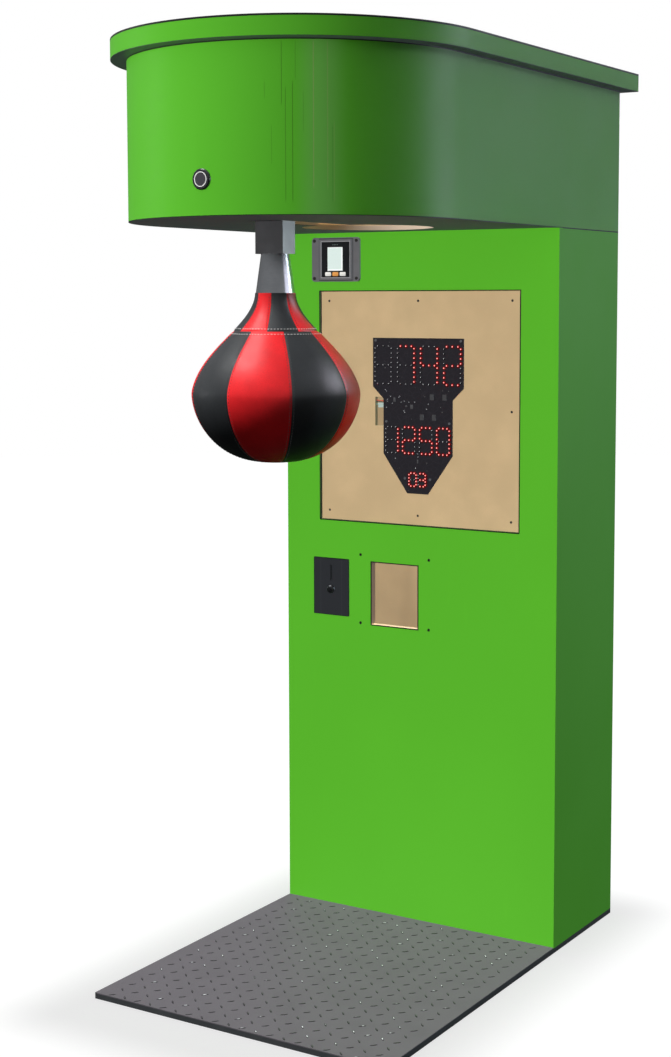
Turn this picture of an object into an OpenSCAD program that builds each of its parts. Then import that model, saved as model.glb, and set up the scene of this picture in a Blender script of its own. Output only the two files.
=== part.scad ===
// Boxing arcade machine: a padded ball hangs on a swinging arm under a round-fronted
// head, and the board in the cabinet's window shows how hard it was punched.
// Millimetres, +Z up. The player stands at -Y. The origin is on the floor, under the
// middle of the whole machine.

/* [Cabinet] */
// Width of the cabinet, and of the round-fronted head
cabinet_w = 750; // [720:1:790]
// Depth of the cabinet, from its front face to its back
cabinet_d = 333; // [320:1:380]
// Thickness of the cabinet's boards
panel_t = 18; // [16:0.5:20]
// Height of the panel under the rear door
kick_h = 150; // [130:1:170]
// Height of the shelf's underside above the floor
shelf_z = 450; // [430:1:480]
// Section of the square battens that the boards are screwed to
batten = 20; // [18:0.5:24]

/* [Base] */
// How far the base reaches in front of the cabinet
base_reach = 773; // [740:1:820]
// Thickness of the base board
base_board_t = 12; // [10:0.5:15]
// Thickness of the tread plate
tread_t = 2; // [1.5:0.5:3]

/* [Head] */
// Height of the head's underside above the floor
head_z = 1705; // [1690:1:1760]
// How far the head reaches in front of the cabinet
head_reach = 865; // [845:1:900]
// Height of the head's wall
head_wall_h = 339; // [320:1:370]
// Thickness of the head's wall
head_wall_t = 9; // [7:0.5:12]
// Thickness of the head's floor
head_floor_t = 12; // [10:0.5:15]
// How far the lid stands out past the wall, all round
lid_over = 34; // [25:1:45]
// Thickness of the lid board
lid_board_t = 39; // [32:1:46]
// Thickness of the lid's black cover
lid_cover_t = 3; // [2:0.5:5]

/* [Swinging ball] */
// Distance of the pivot in front of the cabinet
pivot_reach = 600; // [590:1:610]
// Height of the shaft above the bearing plate
shaft_h = 24; // [24:0.5:28]
// Radius of the swing shaft
shaft_r = 10; // [9:0.5:11]
// Width of the arm's tube, along the shaft
arm_w = 70; // [64:1:74]
// Depth of the arm's tube
arm_d = 46; // [42:1:50]
// Wall of the arm's tube
arm_wall = 3; // [2.5:0.5:4]
// Length of the arm, from the shaft to the tube's lower end
arm_len = 107; // [104:1:112]
// Length of the steel collar between the arm and the ball
collar_h = 82; // [78:1:86]
// Radius of the collar at its upper end
collar_top_r = 30; // [28:0.5:32]
// Radius of the collar's lower end, and of the ball's neck
collar_low_r = 41.5; // [40:0.5:43]
// Radius of the ball at its widest
ball_r = 178; // [170:1:180]
// Height of the ball's pear-shaped part, above its widest place
ball_up = 213; // [206:1:218]
// Height of the ball's rounded part, below its widest place
ball_down = 145; // [138:1:150]
// Thickness of the ball's leather with its padding
ball_wall = 14; // [10:1:20]
// Largest angle of the swing, in degrees
swing_max = 68; // [60:1:68]

/* [Keyhole in the head floor] */
// Radius of the round part, where the ball swings up
hole_r = 150; // [148:1:156]
// Distance of its centre in front of the cabinet
hole_reach = 225; // [218:1:232]
// Room at each side of the arm in the slot
slot_gap = 6; // [5:0.5:8]

/* [Window and score board] */
// Width of the window in the front panel
window_w = 552; // [530:1:570]
// Height of the window
window_h = 566; // [550:1:590]
// Distance of the window's top edge below the head
window_drop = 143; // [138:1:150]
// Depth of the display board's face behind the front panel's face
board_recess = 6.4; // [5:0.2:8]
// Thickness of the circuit board
pcb_t = 1.6; // [1.2:0.2:2]
// Radius of a lamp on the circuit board
led_r = 2.5; // [2:0.1:2.8]
// Height of a lamp
led_h = 3; // [2:0.2:3.2]

/* [Coin unit] */
// Width of the coin plate
coin_w = 103; // [98:1:108]
// Height of the coin plate
coin_h = 144; // [138:1:150]
// Thickness of the coin plate
coin_t = 3; // [2:0.5:4]
// Radius of the reject button
reject_r = 8.5; // [7.5:0.5:9.5]
// How far the reject button stands out
reject_proud = 8; // [6:0.5:10]
// Travel of the reject button
reject_travel = 4; // [3:0.5:5]

/* [Spare cut-out] */
// Width of the cut-out for a banknote unit
cutout_w = 131; // [125:1:135]
// Height of the cut-out
cutout_h = 155; // [148:1:160]
// Distance between its fixing holes, side to side
fixing_w = 194; // [194:1:198]
// Distance between its fixing holes, top to bottom
fixing_h = 171; // [168:1:174]
// Radius of a fixing hole
fixing_r = 2.5; // [2:0.25:3.5]

/* [Card reader] */
// Width of the reader's plate
reader_w = 138; // [134:1:144]
// Height of the reader's plate
reader_h = 108; // [104:1:110]
// Thickness of the reader's plate
reader_t = 6; // [5:0.5:8]

/* [Start button] */
// Radius of the button's bezel
start_r = 21; // [19:0.5:23]
// How far the bezel stands out
start_proud = 6; // [5:0.5:9]
// Travel of the button's cap
start_travel = 3.5; // [2.5:0.5:4]

/* [Rear door] */
// Gap round the door
door_gap = 2; // [1.5:0.5:3]
// Radius of a hinge's knuckle
knuckle_r = 5; // [4.5:0.25:5.5]
// Length of a hinge
hinge_len = 80; // [70:1:90]

/* [Hidden] */

// Shared clearances
fit_gap = 0.3;
run_gap = 0.05;
cut_over = 1;

// Main places
half_w = cabinet_w / 2;
inner_w = half_w - panel_t;
rear_y = (head_reach + cabinet_d) / 2;
front_y = rear_y - cabinet_d;
back_of_front = front_y + panel_t;
arc_y = front_y - head_reach + half_w;
floor_z = base_board_t + tread_t;
head_top = head_z + head_wall_h;
bay_floor = head_z + head_floor_t;
bay_hole_in = 157;
bay_hole_x = inner_w - bay_hole_in;
bay_hole_back = 120;
bay_hole_y = front_y + bay_hole_back;
bay_hole_r = 25;

// Window, display board and score board
window_z = head_z - window_drop - window_h / 2;
board_y = front_y + board_recess;
pcb_y = board_y - pcb_t;
board_gap = 0.5;
strip_w = 60;
strip_lap = 20;
strip_t = 20;
trim_w = 2.5;
trim_proud = 0.8;
display_screw_in = 23;
display_screw_r = 3;
pcb_top_half = 126;
pcb_neck_half = 96;
pcb_tip_half = 28.7;
pcb_heights = [170.4, 51.5, 22.4, -111.4, -206.5];
pcb_screws = [[118, 164], [87.5, -33], [35, -170]];
chip_size = [10, 14];
chip_t = 1.5;
chip_places = [[39.5, 29], [74, 29], [12, -20], [45.5, -20]];
cable_cut = [35, 70.7];
cable_cut_at = [-103, -9];

// Each row of digits: height above the window's middle, half width, half height, step
// of the lamps down a side, step along a row, and step from digit to digit
row_top = [105, 22.8, 45.6, 11.44, 15.35, 63.8];
row_mid = [-77, 17, 31.6, 10.4, 11.1, 47.4];
row_low = [-172.3, 9.9, 15.7, 7.8, 9.2, 25.5];
// How many lamps stand down a side and along a row
count_top = [4, 3];
count_mid = [3, 3];
count_low = [2, 2];
digits_top = [10, 7, 4, 2];
digits_mid = [1, 2, 5, 0];
digits_low = [0, 3];
// Which of top, upper left, upper right, middle, lower left, lower right and bottom
// are lit for the digits 0 to 9, and for a blank place
SEGMENTS = [
    [1, 1, 1, 0, 1, 1, 1], [0, 0, 1, 0, 0, 1, 0], [1, 0, 1, 1, 1, 0, 1],
    [1, 0, 1, 1, 0, 1, 1], [0, 1, 1, 1, 0, 1, 0], [1, 1, 0, 1, 0, 1, 1],
    [1, 1, 0, 1, 1, 1, 1], [1, 0, 1, 0, 0, 1, 0], [1, 1, 1, 1, 1, 1, 1],
    [1, 1, 1, 1, 0, 1, 1], [0, 0, 0, 0, 0, 0, 0]
];

// Coin unit
coin_x = -244;
coin_z = 827;
slot_size = [3.5, 37];
slot_up = 35;
reject_down = 6;
reject_flange = 2;
validator_gap = reject_flange + reject_travel + 2;
validator_size = [78, 70, 118];
validator_back = front_y + validator_gap + validator_size[1];
chute_size = [60, 34];
chute_wall = 2;
chute_y = front_y + panel_t + 24;
chute_end_up = 132;
chute_end_z = shelf_z + panel_t + chute_end_up;
cash_size = [178, 200, 120];
cash_wall = 2;
cash_y = back_of_front + 6;
cash_side_gap = 4;
cash_left = -inner_w + batten + cash_side_gap;

// Spare cut-out
cutout_x = -62;
cutout_z = 818.7;
fixing_x = cutout_x - 0.5;
fixing_z = cutout_z + 9;

// Card reader
reader_x = -227;
reader_drop = 65;
reader_z = head_z - reader_drop;
reader_round = 8;
bezel_size = [93.5, 100];
bezel_proud = 3;
unit_size = [78, 86];
unit_depth = 40;
unit_sunk = 1;
screen_size = [43.6, 57.4];
screen_t = 0.6;
screen_up = 1.5;
reader_screw_in = 8;
reader_screw_r = 4;

// Start button, on the head's front
start_x = 8;
start_up = 72;
start_z = head_z + start_up;
start_front = arc_y - half_w;
start_bevel = 2;
barrel_r = 14;
barrel_len = 32;
ring_r = [13.2, 15.3];
ring_t = 2;
ring_proud = 0.5;
cap_r = 12.7;
cap_len = 6.5;
cap_proud = 0.8;
cap_bore = 6;
stem_r = 4;
stem_gap = 0.4;
start_nut_r = 19;
start_nut_t = 6;
start_nut_gap = 1.2;
switch_size = [12, 16, 10];

// Pivot, arm and ball
pivot_y = front_y - pivot_reach;
bearing_plate_t = 3;
pivot_z = bay_floor + bearing_plate_t + shaft_h;
slot_half = arm_w / 2 + slot_gap;
hole_y = front_y - hole_reach;
slot_front = pivot_y - arm_d / 2 - 15;
tube_low = pivot_z - arm_len;
tube_over = 26;
tube_top = pivot_z + tube_over;
end_plate_t = 6;
hub_r = 16;
collar_wall = 3;
ball_top = tube_low - collar_h;
ball_mid = ball_top - ball_up;
stud_r = 8;
stud_in_ball = 60;
neck_solid = stud_in_ball + 15;
stud_gap = 0.1;
bumper_w = 60;

// Bearings, shaft and code wheel
block_x = 75;
block_w = 28;
block_len = 100;
block_foot = 12;
block_bolt_y = 38;
bolt_r = 4;
bolt_head_r = 7;
bolt_head_h = 5;
bolt_in_floor = 8;
shaft_collar_r = 15;
shaft_collar_w = 8;
wheel_x = 125;
wheel_t = 1.5;
wheel_r = 22;
wheel_hub_r = 14;
wheel_slots = 12;
plate_half_w = 110;
plate_reach = [66, 58];
plate_front = pivot_y - plate_reach[0];
plate_back = pivot_y + plate_reach[1];

// Latch: a roller pin on the arm's horn is caught by the pawl's two noses
horn_r = 80;
horn_end_r = 14;
horn_t = 8;
roller_r = 6;
roller_half = 15;
latch_r = 135;
latch_at = 70;
latch_turn = 35;
nose_r = 6;
nose_gap = 1;
pawl_pin_r = 4;
pawl_hub_r = 10;
pawl_half = 12;
pawl_inner = 6;
tail_len = 30;
tail_r = 5;
latch_y = pivot_y - latch_r * sin(latch_at);
latch_z = pivot_z + latch_r * cos(latch_at);
nose_at = swing_max - (roller_r + nose_r + nose_gap) / horn_r * 180 / PI;
nose_y = pivot_y - horn_r * sin(nose_at);
nose_z = pivot_z + horn_r * cos(nose_at);
tail_y = latch_y + tail_len * sin(latch_turn / 2);
tail_z = latch_z - tail_len * cos(latch_turn / 2);
plunger_r = 5;
plunger_len = 40;
plunger_gap = 0.5;
plunger_travel = 2 * tail_len * sin(latch_turn / 2);
// The tail leans towards the plunger at rest, so its side is nearer than its tip
tail_lean = latch_turn / 2;
plunger_tip = tail_y - tail_r / cos(tail_lean) - plunger_r * tan(tail_lean) - plunger_gap;
solenoid_size = [30, 40, 30];
solenoid_y = plunger_tip - plunger_travel - 6.5 - solenoid_size[1];
cheek_x = [14, 18];

// Rear door
door_low = base_board_t + kick_h + door_gap;
door_high = head_z - 2 * door_gap;
door_half = inner_w - door_gap;
hinge_x = -inner_w + door_gap / 2;
hinge_y = rear_y + knuckle_r + 0.3;
leaf_t = 1.5;
leaf_w = 13;
hinge_pin_r = 2.5;
hinge_end_in = 120;
hinge_z = [door_low + hinge_end_in, (door_low + door_high) / 2, door_high - hinge_end_in];
lock_x = inner_w - 37;
lock_z = 900;
lock_r = 9.5;
lock_plug_r = 5.5;
lock_flange_r = 13;
cam_len = 30;
cam_w = 14;
cam_t = 3;
cam_y = rear_y - panel_t - batten - 1;
inlet_in = 157;
inlet_x = inner_w - inlet_in;
inlet_size = [27, 20];
inlet_depth = 25;
shelf_back = rear_y - panel_t - batten - 12;

// Power supply on the base board, with its air slots
supply_size = [160, 110, 62];
supply_side_gap = 77;
supply_back_gap = 70;
supply_slots = 10;
supply_slot_edge = 12;
supply_slot_pitch = 14;
supply_slot_w = 6;
supply_slot_in = 20;
supply_slot_deep = 4;

// Score board's plug with its cable, and the control unit that it runs to
plug_at = [-100, 6];
plug_size = [24, 11];
plug_behind = 2;
cable_r = 3;
cable_turn = 16;
control_x = [-60, 120];
control_size = [50, 200];

green = [0.34, 0.69, 0.17];
tan_wood = [0.78, 0.67, 0.51];
dark = [0.19, 0.21, 0.2];
steel = [0.75, 0.76, 0.78];
black = [0.08, 0.08, 0.09];
zinc = [0.66, 0.68, 0.7];

// A block between two corners
module block(low, high) {
    translate(low) cube(high - low);
}

// A round bar along X, from x0 to x1, with its axis at [y, z]
module rod_x(r, x0, x1, y, z) {
    translate([x0, y, z]) rotate([0, 90, 0]) cylinder(r = r, h = x1 - x0, $fn = 48);
}

// A round bar along Y, from y0 to y1, with its axis at [x, z]
module rod_y(r, y0, y1, x, z) {
    translate([x, y0, z]) rotate([-90, 0, 0]) cylinder(r = r, h = y1 - y0, $fn = 48);
}

// An outline drawn in X and Z, given thickness from y0 to y1
module upright(y0, y1) {
    translate([0, y1, 0]) rotate([90, 0, 0]) linear_extrude(y1 - y0) children();
}

// An outline drawn in Y and Z, given thickness from x0 to x1
module sideways(x0, x1) {
    translate([x0, 0, 0]) rotate([90, 0, 90]) linear_extrude(x1 - x0) children();
}

// A rectangle about a centre
module panel_2d(centre, size) {
    translate(centre) square(size, center = true);
}

// A rectangle with round corners about a centre
module rounded_2d(centre, size, r) {
    panel_2d(centre, [size[0] - 2 * r, size[1]]);
    panel_2d(centre, [size[0], size[1] - 2 * r]);
    for (sx = [-1, 1], sz = [-1, 1])
        translate(centre + [sx * (size[0] / 2 - r), sz * (size[1] / 2 - r)]) circle(r = r, $fn = 32);
}

// A flat link with round ends between two points
module link_2d(a, b, r) {
    d = b - a;
    translate(a) circle(r = r, $fn = 32);
    translate(b) circle(r = r, $fn = 32);
    translate(a) rotate(atan2(d[1], d[0])) translate([0, -r]) square([norm(d), 2 * r]);
}

// A flat finger from the origin to a point, with a round tip that is a little thicker
module finger_2d(tip, r) {
    half = r - 0.8;
    translate(tip) circle(r = r, $fn = 32);
    rotate(atan2(tip[1], tip[0])) translate([0, -half]) square([norm(tip), 2 * half]);
}

// The head seen from above: a half circle as wide as the cabinet, then straight sides
module head_plan(grow) {
    translate([0, arc_y]) circle(r = half_w + grow, $fn = 128);
    translate([-half_w - grow, arc_y]) square([cabinet_w + 2 * grow, rear_y - arc_y + grow]);
}

// The slot for the arm, which opens into the round hole for the ball
module keyhole_2d() {
    translate([0, hole_y]) circle(r = hole_r, $fn = 96);
    translate([-slot_half, slot_front]) square([2 * slot_half, hole_y - slot_front]);
}

// A hexagonal bolt head with its shank below, at [x, y], under the head at z
module bolt(at, z, r, head_r, head_h, len) {
    translate([at[0], at[1], z]) cylinder(r = head_r, h = head_h, $fn = 6);
    translate([at[0], at[1], z - len]) cylinder(r = r, h = len + head_h / 2, $fn = 24);
}

/* base and cabinet */

module base_board() {
    color(dark) block([-half_w, front_y - base_reach, 0], [half_w, rear_y, base_board_t]);
}

module tread_plate() {
    color([0.45, 0.45, 0.46])
        block([-half_w, front_y - base_reach, base_board_t], [half_w, front_y, floor_z]);
}

module side_panel(side) {
    x = side > 0 ? inner_w : -half_w;
    color(green)
        block([x, back_of_front, base_board_t], [x + panel_t, rear_y, head_z]);
}

module side_panel_left() { side_panel(-1); }

module side_panel_right() { side_panel(1); }

module front_panel() {
    color(green) difference() {
        block([-half_w, front_y, base_board_t], [half_w, back_of_front, head_z]);
        upright(front_y - cut_over, back_of_front + cut_over) {
            panel_2d([0, window_z], [window_w, window_h]);
            panel_2d([cutout_x, cutout_z], [cutout_w, cutout_h]);
            panel_2d([coin_x, coin_z], [validator_size[0], validator_size[2]] + [2, 2]);
            panel_2d([reader_x, reader_z], unit_size + [2, 2]);
        }
        for (sx = [-1, 1], sz = [-1, 1])
            rod_y(fixing_r, front_y - cut_over, back_of_front + cut_over,
                  fixing_x + sx * fixing_w / 2, fixing_z + sz * fixing_h / 2);
    }
}

// Corner battens behind the front panel, shelf runners, and the strip that the door
// closes against
module cabinet_battens() {
    color(tan_wood) for (side = [-1, 1]) {
        x0 = side > 0 ? inner_w - batten : -inner_w;
        block([x0, back_of_front, base_board_t],
              [x0 + batten, back_of_front + batten, shelf_z - batten]);
        block([x0, back_of_front, shelf_z - batten], [x0 + batten, shelf_back, shelf_z]);
        block([x0, back_of_front, shelf_z + panel_t], [x0 + batten, back_of_front + batten, head_z]);
    }
    color(tan_wood)
        block([inner_w - batten, rear_y - panel_t - fit_gap - batten, door_low],
              [inner_w, rear_y - panel_t - fit_gap, head_z]);
}

module shelf() {
    color(tan_wood)
        block([-inner_w, back_of_front, shelf_z], [inner_w, shelf_back, shelf_z + panel_t]);
}

module rear_kick_panel() {
    color(dark) difference() {
        block([-inner_w, rear_y - panel_t, base_board_t],
              [inner_w, rear_y, base_board_t + kick_h]);
        upright(rear_y - panel_t - cut_over, rear_y + cut_over)
            panel_2d([inlet_x, base_board_t + kick_h / 2], inlet_size + [2, 2] * fit_gap);
    }
}

// Mains socket with its flange on the outside
module power_inlet() {
    z = base_board_t + kick_h / 2;
    color(black) difference() {
        union() {
            upright(rear_y, rear_y + 2) rounded_2d([inlet_x, z], inlet_size + [21, 8], 3);
            upright(rear_y - inlet_depth, rear_y + 1) panel_2d([inlet_x, z], inlet_size);
        }
        upright(rear_y - inlet_depth + 8, rear_y + 3) panel_2d([inlet_x, z], inlet_size - [4, 5]);
    }
    color(zinc) for (dx = [-5.5, 0, 5.5])
        block([inlet_x + dx - 1, rear_y - inlet_depth + 7, z - 5],
              [inlet_x + dx + 1, rear_y - 4, z - 1]);
}

module power_supply() {
    low = [inner_w - supply_side_gap - supply_size[0],
           rear_y - panel_t - supply_back_gap - supply_size[1], base_board_t];
    high = low + supply_size;
    color(zinc) difference() {
        block(low, high);
        for (k = [0:supply_slots - 1]) {
            x0 = low[0] + supply_slot_edge + k * supply_slot_pitch;
            block([x0, low[1] + supply_slot_in, high[2] - supply_slot_deep],
                  [x0 + supply_slot_w, high[1] - supply_slot_in, high[2] + cut_over]);
        }
    }
}

/* rear door with its hinges and lock */

module service_door() {
    color(green) difference() {
        block([-door_half, rear_y - panel_t, door_low], [door_half, rear_y, door_high]);
        rod_y(lock_r + 0.1, rear_y - panel_t - cut_over, rear_y + cut_over, lock_x, lock_z);
    }
}

// One hinge is five knuckle lengths: the fixed leaf holds the outer and middle ones
module knuckles(z, first, count, r_in) {
    step = hinge_len / 5;
    for (k = [first:2:first + 2 * count - 2])
        translate([hinge_x, hinge_y, z - hinge_len / 2 + k * step + 0.2]) difference() {
            cylinder(r = knuckle_r, h = step - 0.4, $fn = 40);
            translate([0, 0, -cut_over]) cylinder(r = r_in, h = step + 2 * cut_over, $fn = 40);
        }
}

// The leaf under one set of knuckles: a flat plate and a web up to each knuckle
module leaf(z, side, first, count) {
    step = hinge_len / 5;
    x0 = side < 0 ? hinge_x - knuckle_r - leaf_w : hinge_x + 1.5;
    x1 = side < 0 ? hinge_x - 1.5 : hinge_x + knuckle_r + leaf_w;
    block([x0, rear_y, z - hinge_len / 2], [x1, rear_y + leaf_t, z + hinge_len / 2]);
    web = hinge_pin_r + 0.4;
    low = z - hinge_len / 2;
    for (k = [first:2:first + 2 * count - 2])
        block([hinge_x + (side < 0 ? -knuckle_r : web), rear_y, low + k * step + 0.2],
              [hinge_x + (side < 0 ? -web : knuckle_r), hinge_y, low + (k + 1) * step - 0.2]);
}

// Leaves screwed to the left side panel's rear edge, with the pins fixed in them
module hinge_leaves_fixed() {
    color(zinc) for (z = hinge_z) {
        knuckles(z, 0, 3, hinge_pin_r - 0.5);
        difference() {
            leaf(z, -1, 0, 3);
            for (k = [1, 3])
                translate([hinge_x, hinge_y, z - hinge_len / 2 + k * hinge_len / 5 - 0.2])
                    cylinder(r = knuckle_r + 0.4, h = hinge_len / 5 + 0.4, $fn = 40);
        }
        translate([hinge_x, hinge_y, z - hinge_len / 2 - 1])
            cylinder(r = hinge_pin_r, h = hinge_len + 2, $fn = 40);
    }
}

module hinge_leaves_door() {
    color(zinc) for (z = hinge_z) {
        knuckles(z, 1, 2, hinge_pin_r + run_gap);
        difference() {
            leaf(z, 1, 1, 2);
            for (k = [0, 2, 4])
                translate([hinge_x, hinge_y, z - hinge_len / 2 + k * hinge_len / 5 - 0.2])
                    cylinder(r = knuckle_r + 0.4, h = hinge_len / 5 + 0.4, $fn = 40);
        }
    }
}

module lock_body() {
    color(zinc) difference() {
        union() {
            rod_y(lock_flange_r, rear_y, rear_y + 3, lock_x, lock_z);
            rod_y(lock_r, cam_y + 1, rear_y + 1, lock_x, lock_z);
            rod_y(lock_flange_r, rear_y - panel_t - 5, rear_y - panel_t, lock_x, lock_z);
        }
        rod_y(lock_plug_r + run_gap, cam_y, rear_y + 4, lock_x, lock_z);
    }
}

// Key plug with the cam on its inner end. The cam points up when it is unlocked.
module lock_cam() {
    color(steel) difference() {
        union() {
            rod_y(lock_plug_r, cam_y - 1, rear_y + 4, lock_x, lock_z);
            upright(cam_y - cam_t, cam_y) {
                link_2d([lock_x, lock_z], [lock_x, lock_z + cam_len - cam_w / 2], cam_w / 2);
            }
        }
        block([lock_x - 0.8, rear_y - 6, lock_z - 4], [lock_x + 0.8, rear_y + 5, lock_z + 4]);
    }
}

/* head */

module head_floor() {
    color(dark) translate([0, 0, head_z]) difference() {
        linear_extrude(head_floor_t) head_plan(-head_wall_t - fit_gap);
        translate([0, 0, -cut_over]) linear_extrude(head_floor_t + 2 * cut_over) {
            keyhole_2d();
            translate([bay_hole_x, bay_hole_y]) circle(r = bay_hole_r, $fn = 48);
        }
        for (x = [-1, 1] * block_x, y = [-1, 1] * block_bolt_y)
            translate([x, pivot_y + y, head_floor_t - bolt_in_floor - 1])
                cylinder(r = bolt_r + 0.1, h = bolt_in_floor + 1 + cut_over, $fn = 32);
    }
}

module head_wall() {
    color(green) translate([0, 0, head_z]) difference() {
        linear_extrude(head_wall_h) head_plan(0);
        translate([0, 0, -cut_over]) linear_extrude(head_wall_h + 2 * cut_over) {
            head_plan(-head_wall_t);
            translate([head_wall_t - half_w, rear_y - 2 * head_wall_t])
                square([cabinet_w - 2 * head_wall_t, 3 * head_wall_t]);
        }
        translate([start_x, 0, start_z - head_z])
            rod_y(barrel_r + 0.2, start_front - 5, start_front + head_wall_t + 5, 0, 0);
    }
}

module head_rear_panel() {
    color(green)
        block([head_wall_t - half_w, rear_y - head_wall_t, head_z],
              [half_w - head_wall_t, rear_y, head_top]);
}

// Upright battens that the lid is screwed down to
module head_battens() {
    for (side = [-1, 1], y = [arc_y + 40, front_y, rear_y - head_wall_t - batten]) {
        x0 = side > 0 ? half_w - head_wall_t - batten : head_wall_t - half_w;
        color(tan_wood) block([x0, y, bay_floor], [x0 + batten, y + batten, head_top]);
    }
}

module lid_board() {
    color(green) translate([0, 0, head_top]) linear_extrude(lid_board_t) head_plan(lid_over);
}

module lid_cover() {
    color(black) translate([0, 0, head_top + lid_board_t]) linear_extrude(lid_cover_t)
        head_plan(lid_over);
}

/* window, display board and score board */

// The board behind the window, with the cut-out that the score board's plug reaches through
module display_board() {
    color(tan_wood) difference() {
        upright(board_y, back_of_front) difference() {
            panel_2d([0, window_z], [window_w, window_h] - [2, 2] * board_gap);
            panel_2d([cable_cut_at[0], window_z + cable_cut_at[1]], cable_cut);
        }
        for (at = display_screw_places())
            rod_y(display_screw_r, board_y - cut_over, back_of_front + cut_over, at[0], at[1]);
    }
}

// Eight screws: three along the top and bottom, one halfway up each side
function display_screw_places() = [
    for (sx = [-1, 0, 1], sz = [-1, 0, 1])
        if (sx != 0 || sz != 0)
            [sx * (window_w / 2 - display_screw_in), window_z + sz * (window_h / 2 - display_screw_in)]
];

// Strips behind the front panel that carry the display board's edges
module display_battens() {
    x1 = window_w / 2 + strip_lap;
    z1 = window_h / 2 + strip_lap;
    color(tan_wood) difference() {
        union() {
            for (side = [-1, 1]) {
                x0 = side > 0 ? x1 - strip_w : -x1;
                z0 = side > 0 ? z1 - strip_w : -z1;
                block([x0, back_of_front, window_z - z1 + strip_w],
                      [x0 + strip_w, back_of_front + strip_t, window_z + z1 - strip_w]);
                block([-x1, back_of_front, window_z + z0],
                      [x1, back_of_front + strip_t, window_z + z0 + strip_w]);
            }
        }
        for (at = display_screw_places())
            rod_y(display_screw_r - 1, back_of_front - cut_over, back_of_front + 12, at[0], at[1]);
    }
}

// Thin black lips round the window and round the spare cut-out
module edge_trims() {
    color(black) upright(front_y - trim_proud, front_y) {
        difference() {
            panel_2d([0, window_z], [window_w, window_h] + [2, 2] * trim_w);
            panel_2d([0, window_z], [window_w, window_h]);
        }
        difference() {
            panel_2d([cutout_x, cutout_z], [cutout_w, cutout_h] + [2, 2] * trim_w);
            panel_2d([cutout_x, cutout_z], [cutout_w, cutout_h]);
        }
    }
}

module display_screws() {
    color(dark) for (at = display_screw_places()) {
        rod_y(display_screw_r, board_y - 0.4, back_of_front - 4, at[0], at[1]);
        rod_y(display_screw_r - 1.1, back_of_front - 5, back_of_front + 11, at[0], at[1]);
    }
}

// Outline of the circuit board: a wide head, a narrower neck and a tapered foot
module score_board_2d() {
    translate([0, window_z]) polygon([
        [-pcb_top_half, pcb_heights[0]], [pcb_top_half, pcb_heights[0]],
        [pcb_top_half, pcb_heights[1]], [pcb_neck_half, pcb_heights[2]],
        [pcb_neck_half, pcb_heights[3]], [pcb_tip_half, pcb_heights[4]],
        [-pcb_tip_half, pcb_heights[4]], [-pcb_neck_half, pcb_heights[3]],
        [-pcb_neck_half, pcb_heights[2]], [-pcb_top_half, pcb_heights[1]]
    ]);
}

module score_board() {
    color([0.17, 0.17, 0.19]) upright(pcb_y, board_y) difference() {
        score_board_2d();
        for (at = pcb_screws, sx = [-1, 1])
            translate([sx * at[0], window_z + at[1]]) circle(r = 1.7, $fn = 24);
    }
}

module score_board_screws() {
    color(steel) for (at = pcb_screws, sx = [-1, 1]) {
        rod_y(1.6, pcb_y - 0.1, board_y - 0.1, sx * at[0], window_z + at[1]);
        rod_y(3, pcb_y - 1.6, pcb_y, sx * at[0], window_z + at[1]);
    }
}

module score_board_chips() {
    color([0.27, 0.27, 0.28]) for (at = chip_places)
        upright(pcb_y - chip_t, pcb_y) panel_2d([at[0], window_z + at[1]], chip_size);
}

function middle_step(k, n) = k - (n - 1) / 2;

// Lamp places of one segment of a digit, from the row's list of sizes
function segment_lamps(s, row, count) =
    let (hw = row[1], hh = row[2], n = count[0], side = row[3], m = count[1], step = row[4])
    s == 0 || s == 3 || s == 6
        ? [for (k = [0:m - 1]) [middle_step(k, m) * step, s == 0 ? hh : s == 3 ? 0 : -hh]]
        : [for (k = [0:n - 1])
            [s == 1 || s == 4 ? -hw : hw, (s < 3 ? 1 : -1) * (k + 0.5) * side]];

function row_lamps(values, row, count, lit) = [
    for (d = [0:len(values) - 1], s = [0:6])
        if (SEGMENTS[values[d]][s] == lit)
            for (p = segment_lamps(s, row, count))
                [middle_step(d, len(values)) * row[5] + p[0], window_z + row[0] + p[1]]
];

module lamps(lit) {
    places = concat(row_lamps(digits_top, row_top, count_top, lit),
                    row_lamps(digits_mid, row_mid, count_mid, lit),
                    row_lamps(digits_low, row_low, count_low, lit));
    for (at = places) {
        rod_y(led_r, pcb_y - led_h + 1, pcb_y, at[0], at[1]);
        translate([at[0], pcb_y - led_h + 1, at[1]]) rotate([90, 0, 0])
            cylinder(r1 = led_r, r2 = led_r * 0.55, h = 1, $fn = 24);
    }
}

module leds_lit() { color([0.95, 0.2, 0.15]) lamps(1); }

module leds_unlit() { color([0.75, 0.75, 0.76]) lamps(0); }

// Plug on the back of the score board, and its cable round into the control unit's side
module display_cable() {
    z = window_z + plug_at[1];
    plug_end = back_of_front + plug_behind;
    color([0.65, 0.7, 0.72]) upright(board_y, plug_end) panel_2d([plug_at[0], z], plug_size);
    color([0.2, 0.2, 0.22]) {
        translate([plug_at[0] + cable_turn, plug_end, z]) rotate([0, 0, 90])
            rotate_extrude(angle = 90, $fn = 64)
                translate([cable_turn, 0]) circle(r = cable_r, $fn = 24);
        rod_x(cable_r, plug_at[0] + cable_turn, control_x[0], plug_end + cable_turn, z);
    }
}

// Control unit on the back of the display board
module control_unit() {
    z = window_z + plug_at[1];
    color([0.3, 0.32, 0.34])
        block([control_x[0], back_of_front, z - control_size[1] / 2],
              [control_x[1], back_of_front + control_size[0], z + control_size[1] / 2]);
}

/* coin unit */

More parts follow.
